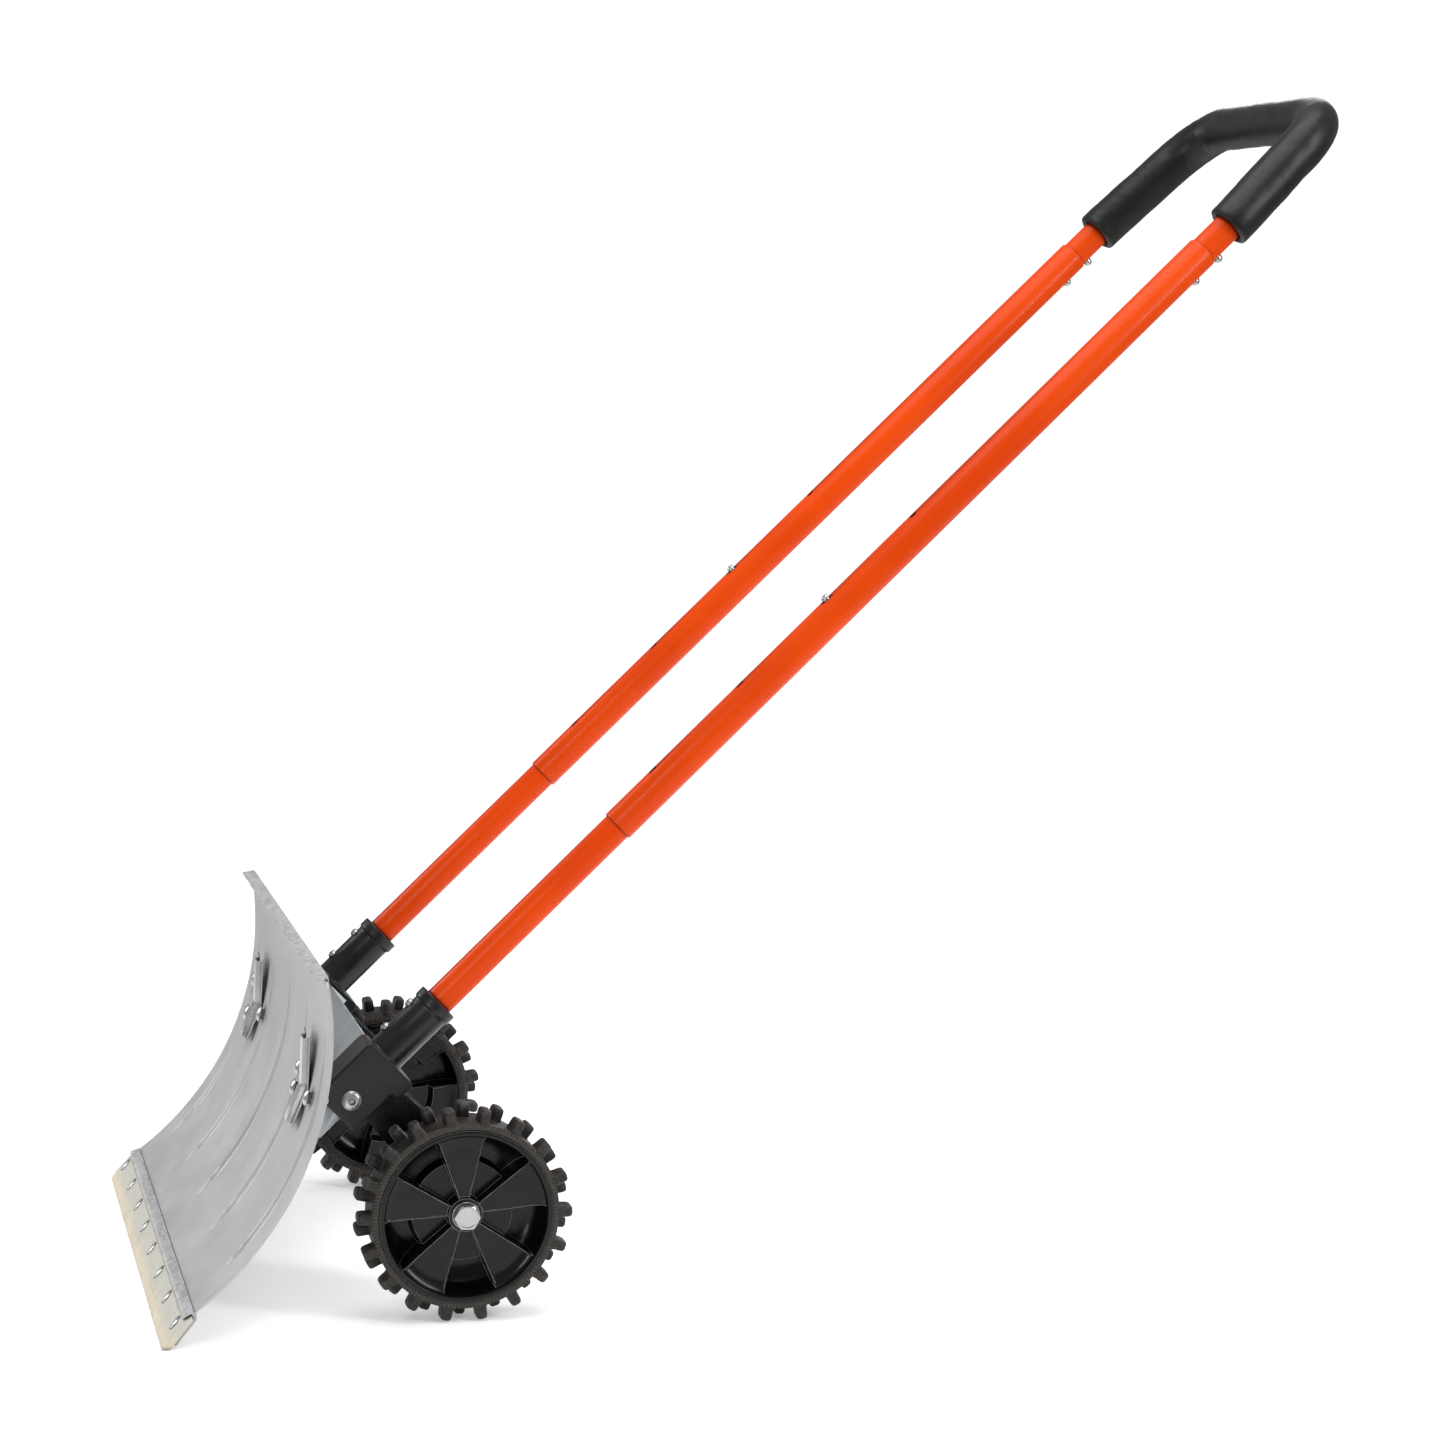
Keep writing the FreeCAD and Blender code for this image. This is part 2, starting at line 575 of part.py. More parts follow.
def pivot_frame(side, x):
    """On the cheek bolt's axis, facing outwards."""
    centre = in_tube(0, pivot_at, -pivot_drop).Base
    return outwards(side, x, centre.y, centre.z)


def make_cheek_bolts():
    pieces = []
    tail_x = cheek_inner_x - 13
    for side_name, side in SIDES:
        name = f"cheek_bolt_{side_name}"
        head_frame = pivot_frame(side, cheek_outer_x)
        rim = cylinder(name + "_rim", 8.3, 1.6, head_frame)
        dome = solid("Part::Cone", name + "_dome", shifted(head_frame, 1.6), Radius1=8.3, Radius2=5, Height=2.6)
        shank = cylinder(name + "_shank", pivot_radius, cheek_outer_x - tail_x, pivot_frame(side, tail_x))
        pieces.append(fuse(name, [rim, dome, shank]))
    return group("cheek_bolts", pieces)


def ring(name, outer, inner, height, frame, shape=cylinder):
    return cut(name, shape(name + "_outside", outer, height, frame),
               cylinder(name + "_inside", inner, height + 2, shifted(frame, -1)))


def make_cheek_washers():
    seat = cheek_inner_x - 0.5 - web_gauge
    return group("cheek_washers", [ring(f"cheek_washer_{side_name}", 8, pivot_radius + 0.05, 1.5,
                                        pivot_frame(side, seat - 1.5)) for side_name, side in SIDES])


def make_cheek_nuts():
    seat = cheek_inner_x - 0.5 - web_gauge
    return group("cheek_nuts", [ring(f"cheek_nut_{side_name}", 7.5, pivot_radius, 6,
                                     pivot_frame(side, seat - 7.5), hexagon) for side_name, side in SIDES])


def make_axle_bracket(side_name, side):
    """A channel of two shaped plates and a web that carries the wheel's axle bolt below the cheek."""
    name = f"axle_bracket_{side_name}"
    axle = (number(axle_y), number(wheel_radius))
    pivot = in_tube(0, pivot_at, -pivot_drop).Base
    profile = [(-97, 81), (-88, 101), (-41, 88), (-14, 63), (17, 11), (-15, -7), (-61, 52.7), (-72, 66)]
    pieces = []
    for index, inner in enumerate((bracket_inner_x, bracket_outer_x - bracket_plate)):
        low = low_x(side, inner, inner + bracket_plate)
        pieces.append(padded(f"{name}_plate_{index}", spot(low, *axle), profile, bracket_plate))
        boss_low, boss_width = low - boss_rise, bracket_plate + boss_rise * 2
        pieces.append(cylinder(f"{name}_axle_boss_{index}", 17, boss_width, along_x(boss_low, *axle)))
        pivot_frame_x = along_x(boss_low, pivot.y, pivot.z)
        pieces.append(cylinder(f"{name}_pivot_boss_{index}", 11, boss_width, pivot_frame_x))
    inset = bracket_plate / 2
    web_low = low_x(side, bracket_inner_x + inset, bracket_outer_x - inset)
    web_frame = Placement(Vector(0, axle[0] - 41, axle[1] + 88), Rotation(Vector(1, 0, 0), -42.8))
    web_width = bracket_outer_x - bracket_inner_x - inset * 2
    pieces.append(box(name + "_web", web_frame, (web_low, web_low + web_width), (1, 35), (-3.5, -1)))
    tools = fuse(name + "_tools", [
        cylinder(name + "_axle_hole", axle_radius + 0.1, 400, along_x(-200, *axle)),
        pivot_hole(name + "_pivot_hole", pivot_radius + 0.1)])
    return cut(name, fuse(name + "_whole", pieces), tools)


# ---------------------------------------------------------------- wheels
def axle_frame(side, x):
    return outwards(side, x, axle_y, wheel_radius)


def make_axle_bolt(side_name, side):
    name = f"axle_bolt_{side_name}"
    tail_x = bracket_inner_x - 15
    head = hexagon(name + "_head", axle_head_radius, axle_head_height, axle_frame(side, axle_head_x))
    shank = cylinder(name + "_shank", axle_radius, axle_head_x - tail_x, axle_frame(side, tail_x))
    return fuse(name, [head, shank])


def make_axle_washers():
    """One under each bolt head and one under each nut."""
    pieces = []
    for side_name, side in SIDES:
        for place, x in (("head", axle_head_x - 1.6), ("nut", bracket_inner_x - boss_rise - 1.6)):
            pieces.append(ring(f"axle_washer_{side_name}_{place}", 11.5, axle_radius + 0.05, 1.6,
                               axle_frame(side, x)))
    return group("axle_washers", pieces)


def make_axle_spacers():
    pieces = []
    for side_name, side in SIDES:
        pieces.append(ring(f"axle_spacer_{side_name}", 9, axle_radius + 0.05,
                           hub_inner_x - bracket_outer_x - boss_rise + 0.6,
                           axle_frame(side, bracket_outer_x + boss_rise)))
    return group("axle_spacers", pieces)


def make_axle_nuts():
    pieces = []
    for side_name, side in SIDES:
        pieces.append(ring(f"axle_nut_{side_name}", axle_head_radius, axle_radius, 11,
                           axle_frame(side, bracket_inner_x - boss_rise - 12.6), hexagon))
    return group("axle_nuts", pieces)


def make_hub(side_name, side):
    """Rim, boss, five raised panels near the outer face, five floors behind them and the walls between."""
    name = f"hub_{side_name}"
    axle = (number(axle_y), number(wheel_radius))

    def span(inner, outer):
        return low_x(side, inner, outer), outer - inner

    pieces = []
    rim_low, rim_width = span(hub_inner_x, hub_outer_x)
    rim_outside = cylinder(name + "_rim_outside", rim_radius, rim_width, along_x(rim_low, *axle))
    rim_inside = cylinder(name + "_rim_inside", rim_bore, rim_width, along_x(rim_low, *axle))
    pieces.append(cut(name + "_rim", rim_outside, rim_inside))
    boss_low, boss_width = span(hub_inner_x + 1, axle_head_x - 2)
    pieces.append(cylinder(name + "_boss", 14, boss_width, along_x(boss_low, *axle)))
    panel_low, panel_width = span(panel_x, panel_x + panel_gauge)
    floor_low, floor_width = span(floor_x, floor_x + panel_gauge)
    wall_low, wall_width = span(floor_x, panel_x + panel_gauge)
    pitch = 360 / panel_count
    for index in range(panel_count):
        start = number(panel_phase) + index * pitch - number(panel_angle) / 2
        pieces.append(cylinder(f"{name}_panel_{index}", rim_bore + 0.5, panel_width,
                               along_x(panel_low, *axle, start), panel_angle))
        pieces.append(cylinder(f"{name}_floor_{index}", rim_bore + 0.5, floor_width,
                               along_x(floor_low, *axle, start + number(panel_angle)), -panel_angle + pitch))
        for edge, turn in (("first", start), ("last", start + number(panel_angle))):
            frame = along_x(wall_low, *axle, turn)
            pieces.append(box(f"{name}_wall_{edge}_{index}", frame, (0, rim_bore + 0.5), (-1.2, 1.2),
                              (0, wall_width)))
    bore = cylinder(name + "_bore", hub_bore, 300, along_x(-300 if side < 0 else 0, *axle))
    return cut(name, fuse(name + "_whole", pieces), bore)


def make_tyre(side_name, side):
    """A tread band with two staggered rows of lugs."""
    name = f"tyre_{side_name}"
    axle = (number(axle_y), number(wheel_radius))
    band_low = low_x(side, hub_inner_x + 2, hub_outer_x - 2)
    band_width = hub_outer_x - hub_inner_x - 4
    tread = cut(name + "_band", cylinder(name + "_tread", tread_radius, band_width, along_x(band_low, *axle)),
                cylinder(name + "_seat", rim_radius, band_width, along_x(band_low, *axle)))
    pieces = [tread]
    half, root, tip, bevel = 4.5, tread_radius - 1.5, wheel_radius, 2.2
    lug = [(root, -half), (tip - bevel, -half), (tip, -half + bevel), (tip, half - bevel), (tip - bevel, half),
           (root, half)]
    row_width = (band_width - 1) / 2
    for row, (inner, phase) in enumerate(((hub_outer_x - 2 - row_width, lug_phase),
                                          (hub_inner_x + 2, lug_phase + 180 / lug_count))):
        low = low_x(side, inner, inner + row_width)
        start = Placement(Vector(number(low), *axle), Rotation(Vector(1, 0, 0), number(phase)))
        body = padded(f"{name}_lugs_{row}", start, lug, row_width)
        pattern = body.newObject("PartDesign::PolarPattern", f"{name}_lug_pattern_{row}")
        pattern.Originals = [body.Tip]
        pattern.Axis = (origin_datum(body, "X_Axis"), [""])
        pattern.Angle = 360
        pattern.Occurrences = lug_count
        body.Tip = pattern
        pieces.append(body)
    return fuse(name, pieces)


# ---------------------------------------------------------------- handle
def tube_holes(name, x, spots):
    return [cylinder(f"{name}_{index}", hole_radius, 25, on_tube(x, along, facing))
            for index, (along, facing) in enumerate(spots)]


def make_lower_tube(side_name, side):
    name = f"lower_tube_{side_name}"
    x = side * number(tube_half_spacing)
    length = lower_tube_top - lower_tube_foot
    outside = cylinder(name + "_outside", inner_radius, length, in_tube(x, lower_tube_foot))
    tools = [cylinder(name + "_inside", inner_bore, length + 2, in_tube(x, lower_tube_foot - 1))]
    tools += tube_holes(name + "_hole", x, [(mid_button_at, 1)])
    for index in range(2):
        along = screw_first - screw_pitch * index
        tools.append(cylinder(f"{name}_screw_hole_{index}", screw_radius + 0.05, 25, on_tube(x, along, 1)))
    return cut(name, outside, fuse(name + "_tools", tools))


def make_upper_tube(side_name, side):
    name = f"upper_tube_{side_name}"
    x = side * number(tube_half_spacing)
    length = upper_tube_top - upper_tube_foot
    outside = cylinder(name + "_outside", outer_radius, length, in_tube(x, upper_tube_foot))
    tools = [cylinder(name + "_inside", outer_bore, length + 2, in_tube(x, upper_tube_foot - 1))]
    spots = [(hole_first + hole_pitch * index, 1) for index in range(4)] + [(button_b_at, -1)]
    tools += tube_holes(name + "_hole", x, spots)
    return cut(name, outside, fuse(name + "_tools", tools))


def u_shape(name, radius, foot):
    """The handle's U at one radius: legs, knees, slanting legs, corners and the crossbar."""
    knee_reach = knee_radius * tangent(knee_angle / 2)
    corner_turn = -knee_angle + 90
    corner_reach = corner_radius * tangent(corner_turn / 2)
    slant = (crossbar_at - handle_knee) / cosine(knee_angle)
    corner_x = tube_half_spacing - (crossbar_at - handle_knee) * tangent(knee_angle)
    steps = [("leg", handle_knee - knee_reach - foot, None),
             ("knee", knee_angle, knee_radius),
             ("slant", slant - knee_reach - corner_reach, None),
             ("corner", corner_turn, corner_radius),
             ("crossbar", corner_x - corner_reach, None)]
    tube = in_tube(0, 0)
    pieces = []
    for side_name, side in SIDES:
        x, along, heading = side * number(tube_half_spacing), number(foot), 0.0
        for step, size, bend in steps:
            turn = math.radians(heading)
            ahead = Vector(-side * math.sin(turn), 0, math.cos(turn))
            inside = Vector(-side * math.cos(turn), 0, -math.sin(turn))
            here = Vector(x, 0, along)
            label = f"{name}_{side_name}_{step}"
            if bend is None:
                frame = tube.multiply(Placement(here, Rotation(Vector(0, 1, 0), -side * heading)))
                pieces.append(cylinder(label, radius, size, frame))
                here = here + ahead * number(size)
            else:
                centre = here + inside * number(bend)
                facing = Rotation(-inside, ahead, Vector(0, -side, 0), "XYZ")
                pieces.append(solid("Part::Torus", label, tube.multiply(Placement(centre, facing)),
                                    Radius1=bend, Radius2=radius, Angle3=size))
                heading += number(size)
                turn = math.radians(heading)
                here = centre - Vector(-side * math.cos(turn), 0, -math.sin(turn)) * number(bend)
            x, along = here.x, here.z
    return fuse(name, pieces)


def make_handle_tube():
    outside = u_shape("handle_outside", inner_radius, handle_foot)
    inside = u_shape("handle_inside", inner_bore, handle_foot - 1)
    tools = [inside]
    for side_name, side in SIDES:
        spots = [(button_a_at, -1), (button_b_at, -1)]
        tools += tube_holes(f"handle_hole_{side_name}", side * number(tube_half_spacing), spots)
    return cut("handle_tube", outside, fuse("handle_tools", tools))


def make_foam_grip():
    return cut("foam_grip", u_shape("grip_outside", grip_radius, grip_foot),
               u_shape("grip_inside", inner_radius, grip_foot))


def make_snap_button(name, side, along, facing):
    frame = on_tube(side * number(tube_half_spacing), along, facing)
    flange = cylinder(name + "_flange", 5, 1.3, shifted(frame, button_seat))
    pin = cylinder(name + "_pin", button_radius, button_tip - 2 - button_seat, shifted(frame, button_seat))
    tip = solid("Part::Cone", name + "_tip", shifted(frame, button_tip - 2), Radius1=button_radius,
                Radius2=button_radius - 1.8, Height=2)
    return fuse(name, [flange, pin, tip])


def make_snap_spring(name, side, foot, top, facing):
    """A leaf under the buttons, folded back at its top to press on the far wall of the tube."""
    frame = on_tube(side * number(tube_half_spacing), top, facing)
    across = (-leaf_width / 2, leaf_width / 2)
    under = button_seat - 0.1 - leaf_gauge
    leaf = box(name + "_leaf", frame, across, low_high(facing, top - foot), (under, under + leaf_gauge))
    fold = Placement(Vector(0, 0, number(under)), Rotation(Vector(1, 0, 0), 22 * facing))
    thick = (-leaf_gauge / 2, leaf_gauge / 2)
    prop = box(name + "_prop", frame.multiply(fold), across, low_high(facing, 44), thick)
    return fuse(name, [leaf, prop])


def low_high(facing, length):
    """The stretch back down the tube from a frame that faces out of it."""
    return (-length, 0) if facing > 0 else (0, length)


# ---------------------------------------------------------------- assembly
def make_all():
    parts = [make_blade_sheet(), make_top_edge_trim(), make_wear_strip(), make_lower_edge_rail(),
             make_strip_rivets(), make_blade_bolts(), make_blade_nuts(), make_cross_bracket(),
             make_socket_screws(), make_cheek_bolts(), make_cheek_washers(), make_cheek_nuts(),
             make_axle_washers(), make_axle_spacers(), make_axle_nuts(), make_handle_tube(), make_foam_grip()]
    for side_name, side in SIDES:
        for make in (make_front_strap, make_socket, make_axle_bracket, make_axle_bolt, make_hub, make_tyre,
                     make_lower_tube, make_upper_tube):
            parts.append(make(side_name, side))
        parts.append(make_snap_button(f"length_button_{side_name}", side, mid_button_at, 1))
        parts.append(make_snap_button(f"handle_button_low_{side_name}", side, button_b_at, -1))
        parts.append(make_snap_button(f"handle_button_high_{side_name}", side, button_a_at, -1))
        parts.append(make_snap_spring(f"length_spring_{side_name}", side, mid_button_at - 30,
                                      mid_button_at + 5, 1))
        parts.append(make_snap_spring(f"handle_spring_{side_name}", side, button_b_at - 5, button_a_at + 5, -1))
    return parts


def check(parts):
    for item in document.Objects:
        if "Invalid" in item.State or "Error" in item.State:
            raise RuntimeError(f"{item.Name} failed: {item.State}")
    for part in parts:
        if part.Shape.isNull() or not part.Shape.isValid():
            raise RuntimeError(f"{part.Name} has no valid shape")


def write(parts):
    whole = FreeCAD.BoundBox()
    for part in parts:
        part.Label = part.Name
        part.Shape.exportStep(f"parts/{part.Label}.step")
        bounds = part.Shape.BoundBox
        whole.add(bounds)
        print(f"{part.Label:26s} solids {len(part.Shape.Solids):2d}  volume {part.Shape.Volume / 1000:9.2f} cm3")
    print("nodes", len(parts), "bounds", whole)


document.recompute()
nodes = make_all()
document.recompute()
check(nodes)
write(nodes)
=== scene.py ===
"""A two-wheeled snow pusher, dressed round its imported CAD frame.

The frame's own axes: X is the width with the user's left at +X, the blade faces -Y, Z is up from the ground.
Forms are shaped in millimetres and turned into metres by add_piece(). Sockets and brackets start from their
CAD solids, and the leaf springs show as packed. The handle tubes lie in one slanting plane, and
tube_frame() places what is on them.
"""

import json
import math

import bmesh
import bpy
from mathutils import Matrix, Vector, noise

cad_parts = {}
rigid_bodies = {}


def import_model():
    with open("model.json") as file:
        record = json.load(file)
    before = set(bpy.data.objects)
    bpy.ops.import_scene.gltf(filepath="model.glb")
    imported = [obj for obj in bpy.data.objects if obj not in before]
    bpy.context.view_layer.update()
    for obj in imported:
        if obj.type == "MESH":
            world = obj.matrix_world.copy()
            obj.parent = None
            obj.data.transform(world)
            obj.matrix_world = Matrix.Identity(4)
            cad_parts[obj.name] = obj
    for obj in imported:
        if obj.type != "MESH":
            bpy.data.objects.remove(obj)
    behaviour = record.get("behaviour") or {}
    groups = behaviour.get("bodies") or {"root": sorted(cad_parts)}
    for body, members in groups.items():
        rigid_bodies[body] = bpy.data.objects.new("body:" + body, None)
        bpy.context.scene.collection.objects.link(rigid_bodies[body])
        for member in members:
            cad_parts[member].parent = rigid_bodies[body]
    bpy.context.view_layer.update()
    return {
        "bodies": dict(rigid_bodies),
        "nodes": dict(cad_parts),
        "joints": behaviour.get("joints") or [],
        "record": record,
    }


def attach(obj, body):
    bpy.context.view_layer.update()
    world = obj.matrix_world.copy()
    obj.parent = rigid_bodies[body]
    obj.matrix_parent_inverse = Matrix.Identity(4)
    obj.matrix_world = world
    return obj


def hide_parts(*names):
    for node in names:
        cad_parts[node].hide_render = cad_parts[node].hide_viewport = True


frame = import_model()
nodes = frame["nodes"]

MM = 0.001
SIDES = (("left", 1), ("right", -1))

# ---- driving dimensions, millimetres and degrees
TUBE_TILT = 44.4  # handle tubes above the ground
MOUTH = (0, -280.3, 252.4)  # the tube plane's origin, level with the socket mouths
TUBE_X = 154  # handle tubes from the middle
INNER_TUBE, INNER_BORE = 12.5, 11  # lower and handle tubes
OUTER_TUBE, OUTER_BORE = 14, 12.8  # upper tubes
HOLE = 4.2  # adjustment holes
LENGTH_BUTTON = 468  # snap buttons along the tubes
HANDLE_BUTTON_LOW, HANDLE_BUTTON_HIGH = 890.6, 918.8
SCREWS = (-17.7, -45.8)  # socket screws along the tubes
GRIP_FOOT, GRIP_R = 942, 20.2
KNEE, KNEE_AT, KNEE_R = 9.5, 952, 80  # where the handle's legs turn inwards
CROSSBAR_AT, CORNER_R = 1084, 51.5
BLADE_AXIS = (-655.3, 245)  # axis of the blade's curve, Y and Z
BLADE_R = 271.5
BLADE_TOP, BLADE_LOW = 10.2, -52.4  # ends of the curve above its axis
BLADE_HALF = 257
SHEET = 1.5
RIB_PITCH, RIB_HALF, RIB_DEPTH = 110, 7.5, 3
RIB_TOP, RIB_LOW = 2, -45.6
STRIP_TOE_Y = -518.3
STRIP_SLOPE = 51.6
STRIP_HALF = 260
RIVET_PITCH, RIVET_UP, RIVETS = 69.7, 22.5, 8
TRIM_HALF = 247
TOE_LEAN = 0.7926  # the slope's cotangent, which keeps the worn toe on the ground
STRAP_X, STRAP_KINK, STRAP_HALF = 160, -12.2, 17
HEAD_CHAMFER = 0.6  # how steeply nuts and hexagon heads are chamfered
AXLE = (-267.3, 89)  # the wheels' axis, Y and Z
LUGS, LUG_FLARE = 18, 1.08  # in each of a tyre's two rows, and how much wider than drawn
SERRATIONS = 160  # round a tyre's side wall
BAND_OUTER, BAND_INNER = 228, 188  # a tyre band's two faces from the middle of the width
BAND_MIDDLE = 208  # between a tyre's two rows of lugs
AXLE_HEAD = 10.97  # circumradius of the axle bolts' heads and nuts
PANEL, PANEL_PHASE, PANELS = 35, -50, 5  # raised hub panels: width, angle of the first, and number
PIVOT_AT, PIVOT_UP = -107, -2.5  # cheek bolt along and above the tube


# ---- frames
def turn(degrees, axis):
    return Matrix.Rotation(math.radians(degrees), 4, axis)


def shift(x=0.0, y=0.0, z=0.0):
    return Matrix.Translation((x, y, z))


def tube_frame(x, along, above=0.0):
    """Z runs up the tube and Y points down and back, so 'above' is the side towards the blade."""
    return Matrix.Translation(MOUTH) @ turn(TUBE_TILT - 90, "X") @ shift(x, -above, along)


def out_of_tube(x, along, facing):
    """On the tube's axis, Z pointing out of the tube: above it (1) or below it (-1)."""
    return tube_frame(x, along) @ turn(90 * facing, "X")


def strip_frame(x=0.0):
    """At the wear strip's toe: Y runs up its face and Z out of it."""
    return shift(x, STRIP_TOE_Y, 0) @ turn(STRIP_SLOPE, "X")


def blade_frame(x, angle):
    """On the blade's front face, at an angle above its axis: Y runs up the face and Z out of it."""
    return Matrix.Translation(blade_point(x, angle, BLADE_R)) @ turn(90 + angle, "X")


def blade_point(x, angle, radius):
    a = math.radians(angle)
    return Vector((x, BLADE_AXIS[0] + radius * math.cos(a), BLADE_AXIS[1] + radius * math.sin(a)))


def outwards(side, x, y, z):
    """Z points away from the middle of the width."""
    return shift(side * x, y, z) @ turn(90 * side, "Y")


def pivot_frame(side, x):
    centre = tube_frame(0, PIVOT_AT, PIVOT_UP).translation
    return outwards(side, x, centre.y, centre.z)


def wheel_point(side, x, radius, degrees):
    """A point of a wheel, turned from +Y towards +Z."""
    a = math.radians(degrees)
    return Vector((side * x, AXLE[0] + radius * math.cos(a), AXLE[1] + radius * math.sin(a)))


# ---- materials
class Surface:
    """One node material, built up in layers over a Principled shader."""

    def __init__(self, name, **values):
        self.material = bpy.data.materials.new(name)
        self.material.use_nodes = True
        self.tree = self.material.node_tree
        self.shader = self.tree.nodes["Principled BSDF"]
        for socket, value in values.items():
            self.shader.inputs[socket.replace("_", " ")].default_value = value
        self.place = self.add("ShaderNodeTexCoord").outputs["Object"]
        self.normal = None

    def add(self, kind, inputs=(), **settings):
        node = self.tree.nodes.new(kind)
        for key, value in settings.items():
            setattr(node, key, value)
        for key, value in dict(inputs).items():
            if isinstance(value, bpy.types.NodeSocket):
                self.tree.links.new(value, node.inputs[key])
            else:
                node.inputs[key].default_value = value
        return node

    def math(self, operation, *values):
        return self.add("ShaderNodeMath", dict(enumerate(values)), operation=operation).outputs[0]

    def stretched(self, x, y, z):
        scaled = self.add("ShaderNodeVectorMath", {0: self.place, 1: (x, y, z)}, operation="MULTIPLY")
        return scaled.outputs[0]

    def noise(self, size, detail=3.0, rough=0.55, place=None):
        """Cloudy variation whose blotches are about that many metres across."""
        inputs = {"Vector": place or self.place, "Scale": 1 / size, "Detail": detail, "Roughness": rough}
        return self.add("ShaderNodeTexNoise", inputs).outputs["Fac"]

    def cells(self, size, feature="F1"):
        inputs = {"Vector": self.place, "Scale": 1 / size}
        return self.add("ShaderNodeTexVoronoi", inputs, feature=feature)

    def band(self, value, low, high, to_low=0.0, to_high=1.0):
        inputs = {"Value": value, "From Min": low, "From Max": high, "To Min": to_low, "To Max": to_high}
        return self.add("ShaderNodeMapRange", inputs, interpolation_type="SMOOTHSTEP").outputs[0]

    def mix(self, amount, first, second):
        node = self.tree.nodes.new("ShaderNodeMix")
        node.data_type = "RGBA"
        for index, value in ((0, amount), (6, first), (7, second)):
            if isinstance(value, bpy.types.NodeSocket):
                self.tree.links.new(value, node.inputs[index])
            else:
                node.inputs[index].default_value = value if index == 0 else (*value, 1.0)
        return node.outputs[2]

    def edges(self, radius):
        """1 on outer and inner edges, 0 on open faces: the mask for paler edges that paint rubbed wear and
        highlight.
        """
        bevel = self.add("ShaderNodeBevel", {"Radius": radius}, samples=6).outputs[0]
        true = self.add("ShaderNodeNewGeometry").outputs["Normal"]
        dot = self.add("ShaderNodeVectorMath", {0: bevel, 1: true}, operation="DOT_PRODUCT").outputs["Value"]
        return self.band(dot, 0.995, 0.86)

    def painted_crevice_shade(self, reach):
        """1 where another surface is near, 0 in the open: the mask for painted shade."""
        open_sky = self.add("ShaderNodeAmbientOcclusion", {"Distance": reach}, samples=8).outputs["AO"]
        return self.band(open_sky, 0.95, 0.45)

    def rounded(self, radius):
        self.normal = self.add("ShaderNodeBevel", {"Radius": radius}, samples=6).outputs[0]
        return self

    def bump(self, height, depth, strength=1.0):
        inputs = {"Height": height, "Distance": depth, "Strength": strength}
        if self.normal is not None:
            inputs["Normal"] = self.normal
        self.normal = self.add("ShaderNodeBump", inputs).outputs[0]
        return self

    def color(self, socket):
        self.tree.links.new(socket, self.shader.inputs["Base Color"])
        return self

    def rough(self, socket):
        self.tree.links.new(socket, self.shader.inputs["Roughness"])
        return self

    def done(self):
        if self.normal is not None:
            self.tree.links.new(self.normal, self.shader.inputs["Normal"])
        return self.material


def blade_metal():
    """Matte rolled sheet: faint vertical rolling lines, fine tooth, light handling marks, painted shade where
    other surfaces are near.
    """
    s = Surface("blade_metal", Metallic=0.45, IOR=1.5)
    rolled = s.noise(0.0016, 2, 0.5, s.stretched(1.0, 0.02, 0.02))
    blotch = s.noise(0.05, 4, 0.6)
    tooth = s.noise(0.0006, 2, 0.6)
    tone = s.mix(s.band(blotch, 0.32, 0.7), (0.40, 0.40, 0.405), (0.46, 0.46, 0.462))
    tone = s.mix(s.band(rolled, 0.3, 0.7, 0.0, 0.25), tone, (0.50, 0.50, 0.505))
    # painted shade: darker where another surface is near
    s.color(s.mix(s.math("MULTIPLY", s.painted_crevice_shade(0.012), 0.6), tone, (0.16, 0.16, 0.165)))
    s.rough(s.band(s.math("ADD", blotch, s.math("MULTIPLY", tooth, 0.5)), 0.4, 1.1, 0.44, 0.58))
    return s.bump(rolled, 0.00004).bump(tooth, 0.00004).bump(blotch, 0.0004, 0.5).done()


def galvanised():
    """Hot-dip zinc: crystal spangle with its own shade and gloss in every flake, and painted shade where
    other surfaces are near.
    """
    s = Surface("galvanised", Metallic=0.5)
    flakes = s.cells(0.0032)
    shade = s.add("ShaderNodeSeparateColor", {0: flakes.outputs["Color"]}).outputs[0]
    speck = s.noise(0.0009, 3, 0.7)
    tone = s.mix(s.band(s.math("ADD", shade, speck), 0.3, 1.5), (0.36, 0.365, 0.37), (0.54, 0.54, 0.545))
    # painted shade: darker where another surface is near
    s.color(s.mix(s.painted_crevice_shade(0.004), tone, (0.10, 0.10, 0.105)))
    s.rough(s.band(shade, 0.0, 1.0, 0.50, 0.66))
    return s.rounded(0.0004).bump(shade, 0.00005, 0.6).bump(speck, 0.00008).done()


